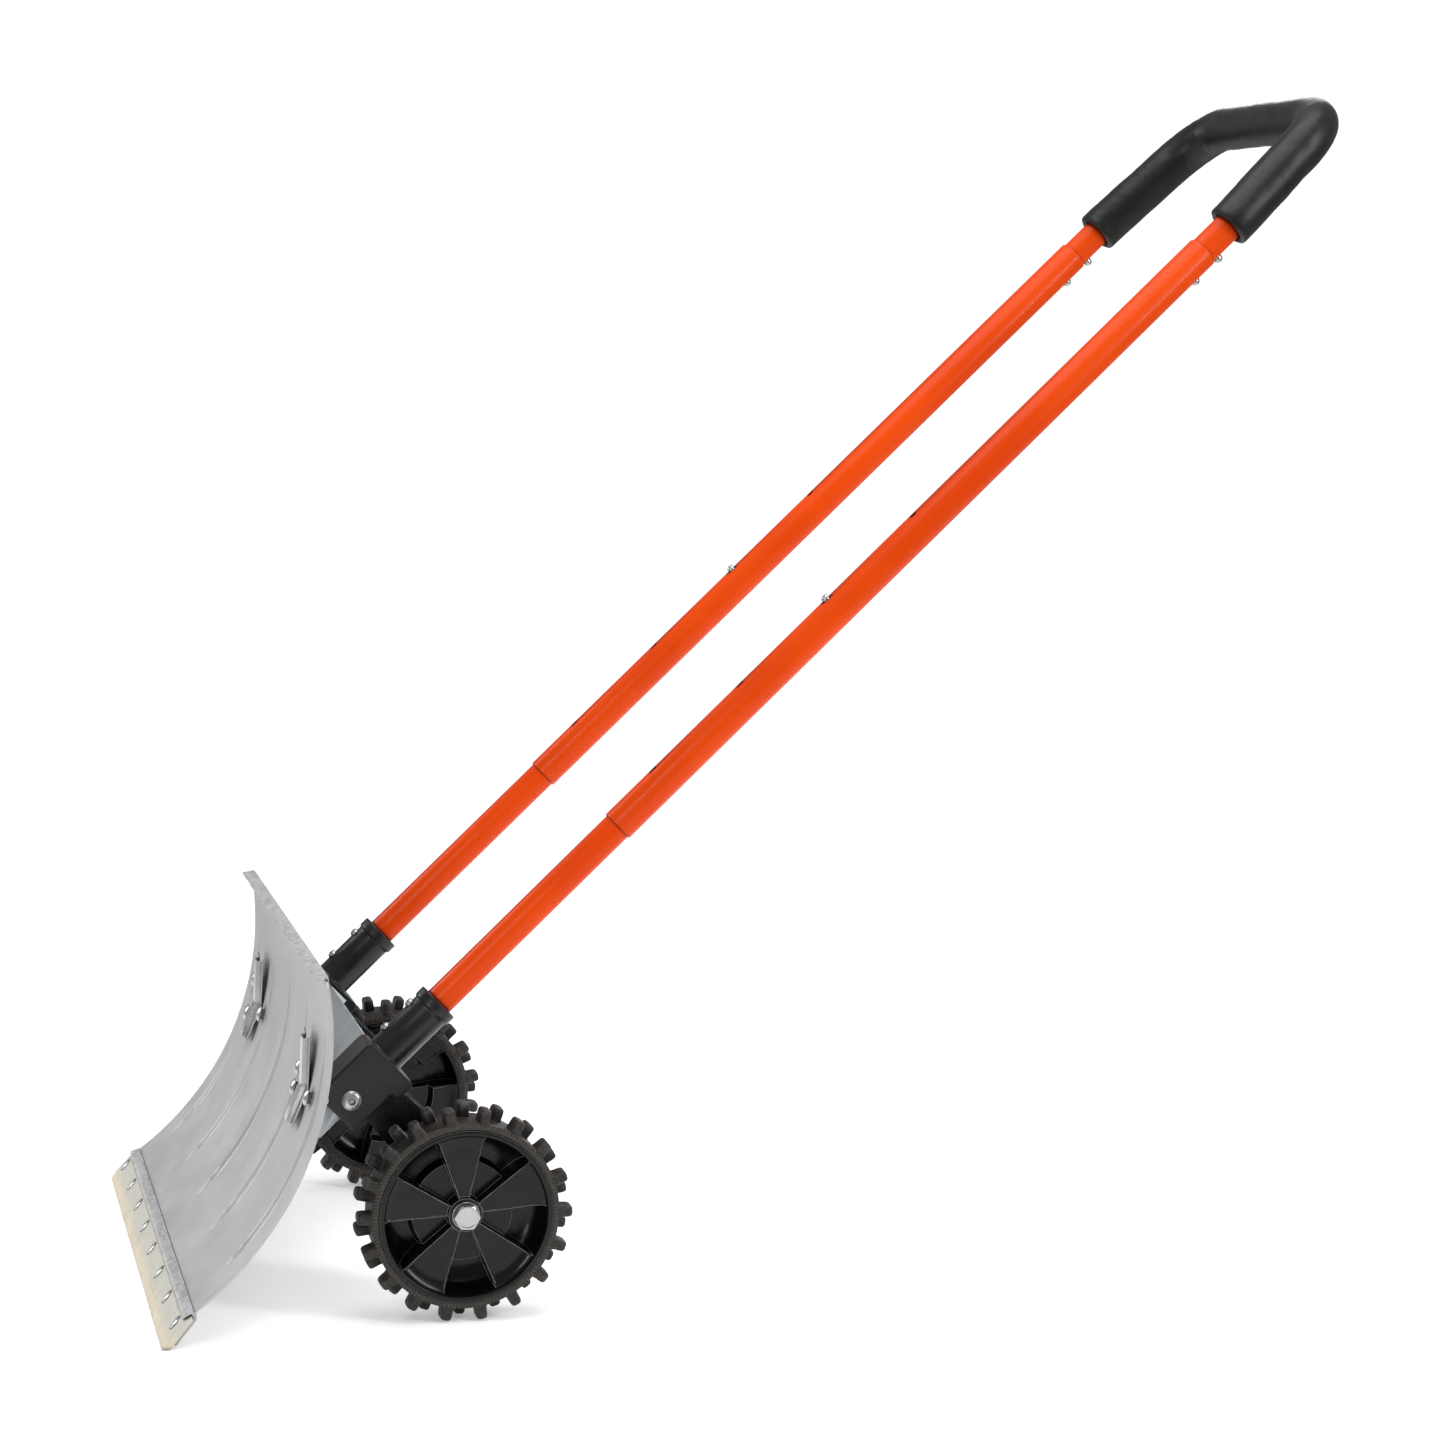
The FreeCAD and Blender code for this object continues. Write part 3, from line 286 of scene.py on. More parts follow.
def wear_polymer():
    """Ivory polymer, scuffed all over: yellower towards the toe, with painted shade round each rivet and
    where other surfaces are near.
    """
    s = Surface("wear_polymer", Subsurface_Weight=0.12, Subsurface_Radius=(0.004, 0.003, 0.002), IOR=1.5)
    s.shader.inputs["Subsurface Scale"].default_value = 1.0
    axes = s.add("ShaderNodeSeparateXYZ", {0: s.place}).outputs
    height = axes["Z"]
    cloud = s.noise(0.018, 4, 0.6)
    slope = math.radians(STRIP_SLOPE)
    back = s.math("MULTIPLY", s.math("SUBTRACT", axes["Y"], STRIP_TOE_Y * MM), math.cos(slope))
    up = s.math("SUBTRACT", s.math("MULTIPLY_ADD", height, math.sin(slope), back), RIVET_UP * MM)
    across = s.math("FRACT", s.math("DIVIDE", axes["X"], RIVET_PITCH * MM))
    across = s.math("MULTIPLY", s.math("SUBTRACT", across, 0.5), RIVET_PITCH * MM)
    from_rivet = s.math("SQRT", s.math("MULTIPLY_ADD", across, across, s.math("MULTIPLY", up, up)))
    scuffs = s.noise(0.0022, 3, 0.7, s.stretched(0.15, 1.0, 1.0))
    toe = s.band(s.math("ADD", height, s.math("MULTIPLY", cloud, 0.006)), 0.017, 0.006)
    tone = s.mix(toe, (0.52, 0.51, 0.45), (0.66, 0.57, 0.41))
    tone = s.mix(s.band(cloud, 0.35, 0.75, 0.0, 0.5), tone, (0.45, 0.43, 0.36))
    # painted shade: darker where another surface is near
    tone = s.mix(s.painted_crevice_shade(0.006), tone, (0.16, 0.15, 0.12))
    # painted shade: a dark ring round each rivet head
    tone = s.mix(s.band(from_rivet, 0.0073, 0.0061), tone, (0.05, 0.045, 0.038))
    s.color(s.mix(s.band(scuffs, 0.56, 0.72, 0.0, 0.5), tone, (0.36, 0.33, 0.27)))
    s.rough(s.band(scuffs, 0.3, 0.7, 0.42, 0.62))
    return s.rounded(0.0006).bump(cloud, 0.0005, 0.6).bump(scuffs, 0.00012).done()


def zinc(name, tones, rough, grain=0.0007, rounding=0.0004, metallic=0.9):
    """Zinc plate or spring steel: fine grain, a cloudy film, painted shade where other surfaces are near,
    paler edges for rubbed wear and painted highlight.
    """
    s = Surface(name, Metallic=metallic)
    cloud = s.noise(0.02, 4, 0.6)
    fine = s.noise(grain, 3, 0.65)
    tone = s.mix(s.band(s.math("ADD", cloud, fine), 0.7, 1.3), *tones)
    # painted shade: darker where another surface is near
    tone = s.mix(s.painted_crevice_shade(0.006), tone, (0.07, 0.07, 0.075))
    # paler edges: rubbed wear and painted highlight
    s.color(s.mix(s.math("MULTIPLY", s.edges(0.0006), 0.5), tone, (0.86, 0.86, 0.85)))
    s.rough(s.band(s.math("ADD", cloud, fine), 0.6, 1.4, *rough))
    return s.rounded(rounding).bump(fine, 0.000012).bump(cloud, 0.0001, 0.3).done()


def moulded_black(name, base, rough, grain, coat=0.0, scuff=0.03, rounding=0.0007, shine=0.3, edge=0.06):
    """Black plastic or paint: fine texture, faint dust, paler edges for rubbed wear and painted highlight."""
    s = Surface(name, IOR=1.5, Coat_Weight=coat, Coat_Roughness=0.12, Specular_IOR_Level=shine)
    cloud = s.noise(0.03, 4, 0.6)
    fine = s.noise(grain, 3, 0.6)
    dust = s.noise(0.003, 5, 0.75)
    tone = s.mix(s.band(cloud, 0.3, 0.7), base, tuple(1.5 * value for value in base))
    tone = s.mix(s.band(dust, 0.62, 0.8, 0.0, 0.35), tone, (scuff, scuff, scuff * 0.95))
    # paler edges: rubbed wear and painted highlight
    s.color(s.mix(s.math("MULTIPLY", s.edges(rounding * 1.4), 0.7), tone, (edge, edge, edge * 0.97)))
    s.rough(s.band(s.math("ADD", cloud, s.math("MULTIPLY", dust, 0.6)), 0.5, 1.1, *rough))
    return s.rounded(rounding).bump(fine, 0.00005).bump(cloud, 0.0006, 0.35).done()


def tyre_rubber():
    """Dark rubber: fine radial ribs on the side wall with painted light and shade on them, brownish bloom, a
    paler worn tread, paler edges for wear and painted highlight.
    """
    s = Surface("tyre_rubber", IOR=1.5, Specular_IOR_Level=0.4)
    axes = s.add("ShaderNodeSeparateXYZ", {0: s.place}).outputs
    y = s.math("SUBTRACT", axes["Y"], AXLE[0] * MM)
    z = s.math("SUBTRACT", axes["Z"], AXLE[1] * MM)
    radius = s.math("SQRT", s.math("ADD", s.math("MULTIPLY", y, y), s.math("MULTIPLY", z, z)))
    ribs = s.math("SINE", s.math("MULTIPLY", s.math("ARCTAN2", z, y), SERRATIONS))
    wall = s.math("MULTIPLY", s.band(radius, 0.0725, 0.0735), s.band(radius, 0.0778, 0.0768))
    cloud = s.noise(0.008, 4, 0.65)
    fine = s.noise(0.0008, 3, 0.7)
    tone = s.mix(s.band(cloud, 0.38, 0.72), (0.006, 0.0055, 0.005), (0.020, 0.016, 0.013))
    worn = s.math("MULTIPLY", s.band(radius, 0.080, 0.088), s.band(cloud, 0.45, 0.6))
    tone = s.mix(s.math("MULTIPLY", worn, 0.7), tone, (0.050, 0.041, 0.032))
    # painted light and shade on the side wall's serrations: crests lighter than grooves
    tone = s.mix(s.math("MULTIPLY", s.band(ribs, 0.0, 0.8), wall), tone, (0.040, 0.037, 0.033))
    # paler edges: wear and painted highlight
    s.color(s.mix(s.math("MULTIPLY", s.edges(0.0012), 0.6), tone, (0.13, 0.105, 0.08)))
    s.rough(s.band(s.math("ADD", cloud, fine), 0.7, 1.3, 0.46, 0.68))
    return s.rounded(0.0005).bump(s.math("MULTIPLY", ribs, wall), 0.00035).bump(fine, 0.00012).done()


def powder_coat():
    """Orange powder coat: orange peel, slight pooling of colour, painted shade where other surfaces are near,
    paler edges for rubbed wear and painted highlight.
    """
    s = Surface("powder_coat", IOR=1.5, Coat_Weight=0.05, Coat_Roughness=0.1, Specular_IOR_Level=0.12)
    peel = s.noise(0.0022, 2, 0.5)
    pool = s.noise(0.06, 3, 0.5, s.stretched(1.0, 0.4, 0.4))
    speck = s.noise(0.0007, 2, 0.6)
    tone = s.mix(s.band(pool, 0.3, 0.7), (0.66, 0.050, 0.0), (0.76, 0.066, 0.0))
    tone = s.mix(s.band(speck, 0.66, 0.8, 0.0, 0.1), tone, (0.45, 0.022, 0.001))
    # painted shade: darker where another surface is near
    tone = s.mix(s.painted_crevice_shade(0.004), tone, (0.16, 0.010, 0.001))
    # paler edges: rubbed wear and painted highlight
    s.color(s.mix(s.math("MULTIPLY", s.edges(0.0005), 0.55), tone, (0.85, 0.20, 0.07)))
    s.rough(s.band(s.math("ADD", pool, peel), 0.6, 1.4, 0.32, 0.42))
    return s.rounded(0.0003).bump(peel, 0.00003, 0.12).done()


def grip_foam():
    """Closed-cell foam: a pitted skin of fine cells with painted shade in the pits, and a soft sheen."""
    s = Surface("grip_foam", IOR=1.45, Specular_IOR_Level=0.33)
    pits = s.cells(0.0007).outputs["Distance"]
    fine = s.noise(0.0011, 4, 0.75)
    cloud = s.noise(0.03, 4, 0.6)
    tone = s.mix(s.band(cloud, 0.3, 0.7), (0.006, 0.0065, 0.006), (0.012, 0.0115, 0.010))
    # painted shade: darker towards the bottom of each cell pit
    s.color(s.mix(s.band(pits, 0.0, 0.55, 0.6, 0.0), tone, (0.006, 0.006, 0.006)))
    s.rough(s.band(fine, 0.3, 0.7, 0.34, 0.46))
    return s.bump(pits, 0.00008, 0.6).bump(fine, 0.00008, 0.6).bump(cloud, 0.0008, 0.4).done()


MATERIALS = {
    "blade_metal": blade_metal(),
    "galvanised": galvanised(),
    "wear_polymer": wear_polymer(),
    "zinc_plate": zinc("zinc_plate", ((0.42, 0.46, 0.48), (0.56, 0.60, 0.62)), (0.36, 0.5)),
    "bright_zinc": zinc("bright_zinc", ((0.40, 0.40, 0.405), (0.50, 0.50, 0.495)), (0.24, 0.36)),
    "spring_steel": zinc("spring_steel", ((0.36, 0.38, 0.42), (0.5, 0.5, 0.5)), (0.2, 0.32)),
    "black_plastic": moulded_black("black_plastic", (0.004, 0.004, 0.004), (0.26, 0.4), 0.0009, shine=0.4),
    "black_paint": moulded_black("black_paint", (0.004, 0.004, 0.0045), (0.2, 0.34), 0.002, rounding=0.0004,
                                 edge=0.25),
    # the hub's pale edge colour is mostly painted highlight along its panel edges
    "hub_plastic": moulded_black("hub_plastic", (0.003, 0.003, 0.003), (0.14, 0.26), 0.0016, rounding=0.0005,
                                 shine=0.25, edge=0.5),
    "tread_rubber": tyre_rubber(),
    "orange_paint": powder_coat(),
    "foam": grip_foam(),
}
SLOT_OF = {entry["node"]: entry["material_slot"] for entry in frame["record"]["subparts"]}


def dress_cad_nodes():
    """Every CAD node gets its slot's material. Those that a detailed piece replaces aren't shown."""
    for name, node in nodes.items():
        node.data.materials.clear()
        node.data.materials.append(MATERIALS[SLOT_OF[name]])


# ---- shaping
class Form:
    """A mesh in millimetres, made of skins whose meeting edges are welded when it becomes a piece."""

    def __init__(self):
        self.mesh = bmesh.new()

    def grid(self, rows, ring=True, loop=False, capped=False):
        """A skin over rows of points: ring closes each row, loop joins the last row to the first."""
        rows = [[self.mesh.verts.new(point) for point in row] for row in rows]
        across = len(rows[0]) - (0 if ring else 1)
        for index in range(len(rows) - (0 if loop else 1)):
            near, far = rows[index], rows[(index + 1) % len(rows)]
            for j in range(across):
                k = (j + 1) % len(near)
                self.mesh.faces.new((near[j], near[k], far[k], far[j]))
        if capped:
            self.mesh.faces.new(rows[0])
            self.mesh.faces.new(rows[-1])
        return self

    def lathe(self, where, profile, steps=48, loop=False):
        """A turned shape: pairs of radius and height along the frame's Z."""
        circle = [(math.cos(math.tau * k / steps), math.sin(math.tau * k / steps)) for k in range(steps)]
        return self.grid([[where @ Vector((radius * c, radius * s, height)) for c, s in circle]
                          for radius, height in profile], loop=loop)

    def polar(self, where, radii, height, edge=None, steps=96, base=0.0):
        """A head: height(radius, angle) over a round or, with edge(angle), any outline, down to its base."""
        rows = []
        for radius in radii:
            row = []
            for k in range(steps):
                a = math.tau * k / steps
                reach = radius * (edge(a) if edge else 1.0)
                row.append(where @ Vector((reach * math.cos(a), reach * math.sin(a), height(reach, a))))
            rows.append(row)
        back = where.inverted()
        rows.append([where @ Vector((*(back @ point).xy, base)) for point in rows[-1]])
        rows.append([where @ Vector((*(back @ point).xy * radii[0] / radii[-1], base)) for point in rows[-2]])
        return self.grid(rows, loop=radii[0] > 0)


def smooth(value, low, high):
    t = min(1.0, max(0.0, (value - low) / (high - low)))
    return t * t * (3 - 2 * t)


def cove(value, low, high):
    """0 at low, rising in a hollow quarter round to 1 at high."""
    t = min(1.0, max(0.0, (value - low) / (high - low)))
    return 1 - math.sqrt(1 - t * t)


def bump(value, middle, half):
    t = (value - middle) / half
    return (1 - t * t) ** 2 if abs(t) < 1 else 0.0


def wander(place, size, seed=0.0):
    """Smooth unevenness between about -1 and 1."""
    return 2 * noise.noise(Vector(place) / size + Vector((seed, seed * 0.7, -seed)))


def softened(points, radius, steps=3):
    """A closed outline with its corners rounded."""
    points = [Vector(point) for point in points]
    result = []
    for index, corner in enumerate(points):
        to_last, to_next = points[index - 1] - corner, points[(index + 1) % len(points)] - corner
        start = corner + to_last * min(radius / to_last.length, 0.45)
        end = corner + to_next * min(radius / to_next.length, 0.45)
        for step in range(steps + 1):
            t = step / steps
            result.append(start * (1 - t) ** 2 + corner * 2 * t * (1 - t) + end * t * t)
    return result


def hexagon_edge(angle):
    """A hexagon's outline for a circumradius of 1, with a corner at angle 0."""
    return math.cos(math.pi / 6) / math.cos((angle % (math.pi / 3)) - math.pi / 6)


def link(name, mesh, slot):
    mesh.polygons.foreach_set("use_smooth", [True] * len(mesh.polygons))
    mesh.set_sharp_from_angle(angle=math.radians(38))
    mesh.materials.clear()
    mesh.materials.append(MATERIALS[slot])
    thing = bpy.data.objects.new(name, mesh)
    bpy.context.scene.collection.objects.link(thing)
    return thing


def declare(thing, slot, body, *replaced):
    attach(thing, body)
    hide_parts(*replaced)
    return thing


def baked(thing):
    """Applies the piece's modifiers to its mesh."""
    graph = bpy.context.evaluated_depsgraph_get()
    mesh = bpy.data.meshes.new_from_object(thing.evaluated_get(graph))
    thing.modifiers.clear()
    thing.data = mesh


def add_piece(name, form, slot, body, *replaced, holes=None):
    """Welds the form, turns it into metres, drills it and sets its finish and body."""
    thing = link(name, metre_mesh(name, form), slot)
    if holes is not None:
        cutter = link(name + "_cutter", metre_mesh(name + "_cutter", holes), slot)
        thing.modifiers.new("holes", "BOOLEAN").object = cutter
        baked(thing)
        bpy.data.objects.remove(cutter)
    return declare(thing, slot, body, *replaced)


def metre_mesh(name, form):
    bmesh.ops.remove_doubles(form.mesh, verts=form.mesh.verts, dist=0.0005)
    bmesh.ops.recalc_face_normals(form.mesh, faces=form.mesh.faces)
    bmesh.ops.scale(form.mesh, vec=(MM, MM, MM), verts=form.mesh.verts)
    mesh = bpy.data.meshes.new(name)
    form.mesh.to_mesh(mesh)
    form.mesh.free()
    return mesh


# ---- blade
def groove(x, angle):
    """How deep the sheet is pressed: each rib is thin at its top and ends in a pointed lens below."""
    rib = round(x / RIB_PITCH)
    along = (angle - RIB_LOW) / (RIB_TOP - RIB_LOW)
    if abs(rib) > 2 or not 0 < along < 1:
        return 0.0
    half = RIB_HALF * min(1.0, along / 0.16) ** 0.6 * (0.25 + 0.75 * min(1.0, (1 - along) / 0.35))
    t = abs(x - rib * RIB_PITCH) / half
    if t >= 1:
        return 0.0
    return RIB_DEPTH * min(1.0, along / 0.10) ** 0.7 * min(1.0, (1 - along) / 0.25) ** 0.8 * (1 - t ** 3)


def sheet_half(angle):
    """Half the sheet's width: stepped in near the top, with round upper corners."""
    half = BLADE_HALF - 1.6 * smooth(angle, 5.0, 5.4)
    corner = 14.0
    below_top = math.radians(BLADE_TOP - angle) * BLADE_R
    if below_top < corner:
        half -= corner - math.sqrt(corner ** 2 - (corner - below_top) ** 2)
    return half


def make_blade():
    columns = [BLADE_HALF * (k / 171 - 1) for k in range(343)]
    squeezed = 238.0                                # only the sheet outside this gives way at its corners
    rows = []
    heels = (((42.1, -4.0), (42.0, -5.3)), ((41.1, -3.75), (41.4, -5.4)), ((38.5, -6.0), (39.0, -7.5)),
             ((36.4, -7.9), (36.9, -9.4)), ((10.5, -7.9), (10.5, -9.4)))
    for back in (False, True):
        skin = []
        turns = 110
        for k in range(turns):
            angle = BLADE_TOP + (BLADE_LOW + 0.1 - BLADE_TOP) * k / (turns - 1)
            half = sheet_half(angle)
            row = []
            for x in columns:
                if abs(x) > squeezed:
                    share = (abs(x) - squeezed) / (BLADE_HALF - squeezed)
                    x = math.copysign(squeezed + share * (half - squeezed), x)
                wave = 0.10 * wander((x, 0, angle * 5), 70, 3.0) * smooth(BLADE_TOP - angle, 0, 6)
                row.append(blade_point(x, angle, BLADE_R + groove(x, angle) + wave + (SHEET if back else 0)))
            skin.append(row)
        for pair in heels:
            up, out = pair[back]
            skin.append([strip_frame() @ Vector((x, up, out)) for x in columns])
        rows += skin[::-1] if back else skin
    form = Form().grid(rows, ring=False, loop=True)
    for end in (0, -1):
        count = len(rows)
        form.grid([(rows[k][end], rows[count - 1 - k][end]) for k in range(count // 2)], ring=False)
    add_piece("blade_sheet_pressed", form, "blade_metal", "chassis", "blade_sheet")


def make_trim():
    """The galvanised edging along the blade's top, a little uneven as folded."""
    frame = blade_frame(0, BLADE_TOP)
    outline = softened([(2.4, 9), (2.4, -2.5), (-9, -2.5), (-9, -1.55), (0.05, -1.55), (0.05, 9)], 0.5)
    rows = []
    for k in range(120):
        x = TRIM_HALF * (k / 59.5 - 1)
        low = 0.10 + 0.10 * wander((x, 0, 0), 14, 5.0)
        short = 0.25 + 0.25 * wander((x, 9, 0), 22, 7.0)
        rows.append([frame @ Vector((x, y - low * (y > 1), z - short * (z > 5))) for y, z in outline])
    add_piece("top_edge_folded", Form().grid(rows, capped=True), "galvanised", "chassis", "top_edge_trim")


def make_strip():
    """The wear strip: an upper facet under the rivets, a worn lower facet and a wandering top edge."""
    frame = strip_frame()
    form = Form()
    rows = []
    count = 200
    for k in range(count):
        x = STRIP_HALF * (2 * k / (count - 1) - 1)
        ragged = 0.5 * wander((x, 0, 0), 9, 1.0) + 0.4 * wander((x, 0, 0), 30, 2.0)
        worn = 0.35 + 0.35 * wander((x, 0, 0), 12, 4.0)
        step = 1.6 * smooth(abs(x), 256.2, 256.8)   # the moulded ends are a little lower
        toe = -1.0 - worn * 0.4
        corners = [(0.8 - toe * TOE_LEAN, toe), (11.0 + ragged, -0.1), (29.4 + ragged * 0.6, -0.1 - step),
                   (36.9, -3.2 - step * 0.5), (35.0, -6.75), (5.45, -6.75)]
        points = softened(corners, 0.9)
        rows.append([frame @ Vector((x, up, out)) for up, out in points])
    form.grid(rows, capped=True)
    add_piece("wear_strip_moulded", form, "wear_polymer", "chassis", "wear_strip")


def make_rail():
    """The folded rail that clamps the strip to the sheet: a rolled front lip and a rounded fold."""
    frame = strip_frame()
    rows = []
    for k in range(160):
        x = BLADE_HALF * (2 * k / 159 - 1)
        lip = 0.25 + 0.25 * wander((x, 0, 0), 18, 6.0)
        curl = bump(x, -BLADE_HALF, 9) * 1.2        # the right end is rolled over
        corners = [(31.2 - lip, -0.3), (31.4 - lip, 0.35 + curl * 0.2), (33.6, 0.35 + curl), (41.0, -3.4),
                   (36.5, -7.85), (10.1, -7.85), (10.1, -6.85), (35.3, -6.85), (38.2, -3.0), (33.0, -0.6)]
        rows.append([frame @ Vector((x, up, out)) for up, out in softened(corners, 0.9)])
    add_piece("lower_edge_folded", Form().grid(rows, capped=True), "galvanised", "chassis", "lower_edge_rail")


def make_rivets():
    """Domed heads on the strip's face, and set tails behind it."""
    head = [(0, 1.4), (1.4, 1.36), (2.8, 1.18), (4.0, 0.86), (4.9, 0.45), (5.4, 0.1), (5.5, -0.05)]
    tail = [(5.3, -0.2), (2.5, -0.25), (2.5, -9.4), (4.1, -9.45), (4.0, -10.2), (3.2, -10.7), (1.2, -10.8),
            (0, -10.5)]
    form = Form()
    for k in range(RIVETS):
        frame = strip_frame((k - (RIVETS - 1) / 2) * RIVET_PITCH) @ shift(y=RIVET_UP)
        form.lathe(frame, head + tail, 32)
    add_piece("strip_rivets_domed", form, "bright_zinc", "chassis", "strip_rivets")


def bolt_spots():
    """A pair of bolts on each strap's right flank, further apart at the right strap, and one on its left."""
    for side, high, low in ((1, -11, -14.6), (-1, -9, -15.9)):
        for offset, angle in ((-34, high), (-34, low), (34, -13)):
            yield blade_frame(side * STRAP_X + offset, angle)


def thread(radius, low, high, pitch=1.0):
    """A bolt's threaded end: turned ridges down to a chamfered tip."""
    profile = []
    height = high
    while height > low + pitch:
        profile += [(radius, height), (radius - 0.45 * pitch, height - pitch / 2)]
        height -= pitch
    return profile + [(radius - 0.5, low + 0.4), (radius - 1.0, low), (0, low)]


def make_blade_bolts():
    form = Form()
    dome = [(0, 7.1), (1.5, 7.05), (3.0, 6.8), (4.6, 6.2), (5.9, 5.5), (6.8, 4.9), (7.2, 4.5), (7.2, 4.25),
            (7.0, 4.15), (5.0, 4.1), (4.9, 0.3), (5.1, 0.1), (3, 0.1)]
    for frame in bolt_spots():
        form.lathe(frame, dome + thread(2.95, -14, -6), 40)
    add_piece("blade_bolts_domed", form, "bright_zinc", "chassis", "blade_bolts")


def add_pair(name, node, slot, shape):
    """One piece made of a shape at each side of the chassis."""
    form = Form()
    for _, side in SIDES:
        shape(form, side)
    add_piece(name, form, slot, "chassis", node)


def hex_nut(form, where, radius, height, bore):
    """A nut chamfered round its top face, with its base 0.3 above the frame's XY plane."""
    apothem = radius * math.cos(math.pi / 6)

    def top(reach, angle):
        return height - max(0.0, reach - apothem * 0.97) * HEAD_CHAMFER

    inner = bore / radius
    radii = [inner, inner + 0.05, 0.80, 0.84, 0.88, 0.92, 0.96, 1.0]
    form.polar(where, [radius * r for r in radii], top, hexagon_edge, 72, 0.3)


def make_straps():
    """Kinked hat-section straps: flanges beside a raised crown, and notched ends."""
    section = [(-17, 1.5), (-17, 0.1), (-9.4, 0.1), (-7.2, 4.0), (7.2, 4.0), (9.4, 0.1), (17, 0.1),
               (17, 1.5), (10.2, 1.5), (8.0, 5.4), (-8.0, 5.4), (-10.2, 1.5)]
    outline = softened(section, 0.6)
    stations = ((-10, -34.0), (-10, -33.6), (-10, -20), (-10, -5), (-7, -2.2), (0, 0), (7, 2.2),
                (11, 5), (11, 20), (11, 41.4), (11, 42))
    for name, side in SIDES:
        kink = blade_frame(side * STRAP_X, STRAP_KINK) @ shift(z=0.4)
        rows = []
        for lean, up in stations:
            frame = kink @ turn(lean, "X") @ shift(y=up)
            notch = 7.0 * smooth(up, 20, 41) - 3.5 * smooth(-up, 15, 33)
            flat = 0.96 if abs(up) > 33.8 else 1
            rows.append([frame @ Vector((x, notch * (abs(x) / STRAP_HALF - 0.75), z * flat))
                         for x, z in outline])
        add_piece(f"front_strap_{name}_folded", Form().grid(rows, capped=True), "bright_zinc", "chassis",
                  f"front_strap_{name}")


def make_nuts():
    form = Form()
    for frame in bolt_spots():
        hex_nut(form, frame @ shift(z=-8.7) @ turn(90, "Z"), 5.7, 5, 2.9)
    add_piece("blade_nuts_chamfered", form, "bright_zinc", "chassis", "blade_nuts")
    add_pair("cheek_nuts_chamfered", "cheek_nuts", "bright_zinc",
             lambda form, side: hex_nut(form, pivot_frame(side, 124), 7.5, 6, 3.9))
    add_pair("axle_nuts_chamfered", "axle_nuts", "bright_zinc",
             lambda form, side: hex_nut(form, outwards(side, 129, *AXLE), AXLE_HEAD, 11, 5.9))


def washer(form, where, outer, inner, height):
    edge = 0.25
    low = [(inner, edge), (inner + edge, 0), (outer - edge, 0), (outer, edge)]
    high = [(radius, height - z) for radius, z in reversed(low)]
    form.lathe(where, low + high, 56, loop=True)


def make_washers():
    def on_axle(form, side):
        for x in (224.4, 140):
            washer(form, outwards(side, x, *AXLE), 11.5, 6.05, 1.6)

    add_pair("cheek_washers_turned", "cheek_washers", "bright_zinc",
             lambda form, side: washer(form, pivot_frame(side, 130), 8, 4.05, 1.5))
    add_pair("axle_washers_turned", "axle_washers", "bright_zinc", on_axle)
    add_pair("axle_spacers_turned", "axle_spacers", "zinc_plate",
             lambda form, side: washer(form, outwards(side, 166.4, *AXLE), 9, 6.05, 20.2))


# ---- sockets and brackets
def make_sockets():
    """Each moulded socket is its CAD solid remeshed finely and relaxed, so that its corners flow together."""
    for name, _ in SIDES:
        node = f"socket_{name}"
        thing = link(node + "_moulded", nodes[node].data.copy(), "black_plastic")
        remesh = thing.modifiers.new("remesh", "REMESH")
        remesh.mode, remesh.voxel_size = "VOXEL", 0.0009
        relax = thing.modifiers.new("relax", "SMOOTH")
        relax.factor, relax.iterations = 0.5, 5
        baked(thing)
        thing.data.polygons.foreach_set("use_smooth", [True] * len(thing.data.polygons))
        declare(thing, "black_plastic", "chassis", node)


def make_rounded_copies():
    """Folded and pressed plates: the CAD solid with its edges broken in the mesh."""
    plates = (("cross_bracket", "zinc_plate", 0.0004), ("axle_bracket_left", "black_paint", 0.0006),
              ("axle_bracket_right", "black_paint", 0.0006))
    for node, slot, width in plates:
        mesh = nodes[node].data.copy()
        plate = bmesh.new()
        plate.from_mesh(mesh)
        bmesh.ops.remove_doubles(plate, verts=plate.verts, dist=1e-6)
        bmesh.ops.dissolve_limit(plate, angle_limit=math.radians(1), verts=plate.verts, edges=plate.edges)
        sharp = [edge for edge in plate.edges if len(edge.link_faces) == 2 and edge.calc_face_angle() > 0.6]
        bmesh.ops.bevel(plate, geom=sharp, offset=width, segments=2, profile=0.5, affect="EDGES",
                        clamp_overlap=True)
        bmesh.ops.triangulate(plate, faces=[face for face in plate.faces if len(face.verts) > 4])
        plate.to_mesh(mesh)
        plate.free()
        declare(link(node + "_pressed", mesh, slot), slot, "chassis", node)


def cross_recess(reach, angle):
    """1 inside a cross recess of the usual shape, 0 outside."""
    x, y = abs(reach * math.cos(angle)), abs(reach * math.sin(angle))
    along, across = max(x, y), min(x, y)
    return smooth(across, 0.75, 0.5) * smooth(along, 2.6, 2.1)


def make_screws():
    radii = [0.0, 0.25, 0.5, 0.7, 0.9, 1.2, 1.5, 1.8, 2.1, 2.4, 2.7, 3.0, 3.3, 3.6, 3.9, 4.1, 4.2]

    def height(reach, angle):
        return 3.4 * math.sqrt(max(0.04, 1 - (reach / 4.3) ** 2.6)) - 1.5 * cross_recess(reach, angle)

    form = Form()
    for _, side in SIDES:
        for along in SCREWS:
            frame = out_of_tube(side * TUBE_X, along, 1) @ shift(z=16.65)
            form.polar(frame, radii, height)
            form.lathe(frame, [(0, 0.4), (2.2, 0.4), (2.2, -7), (0, -7)], 24)
    add_piece("socket_screws_recessed", form, "bright_zinc", "chassis", "socket_screws")


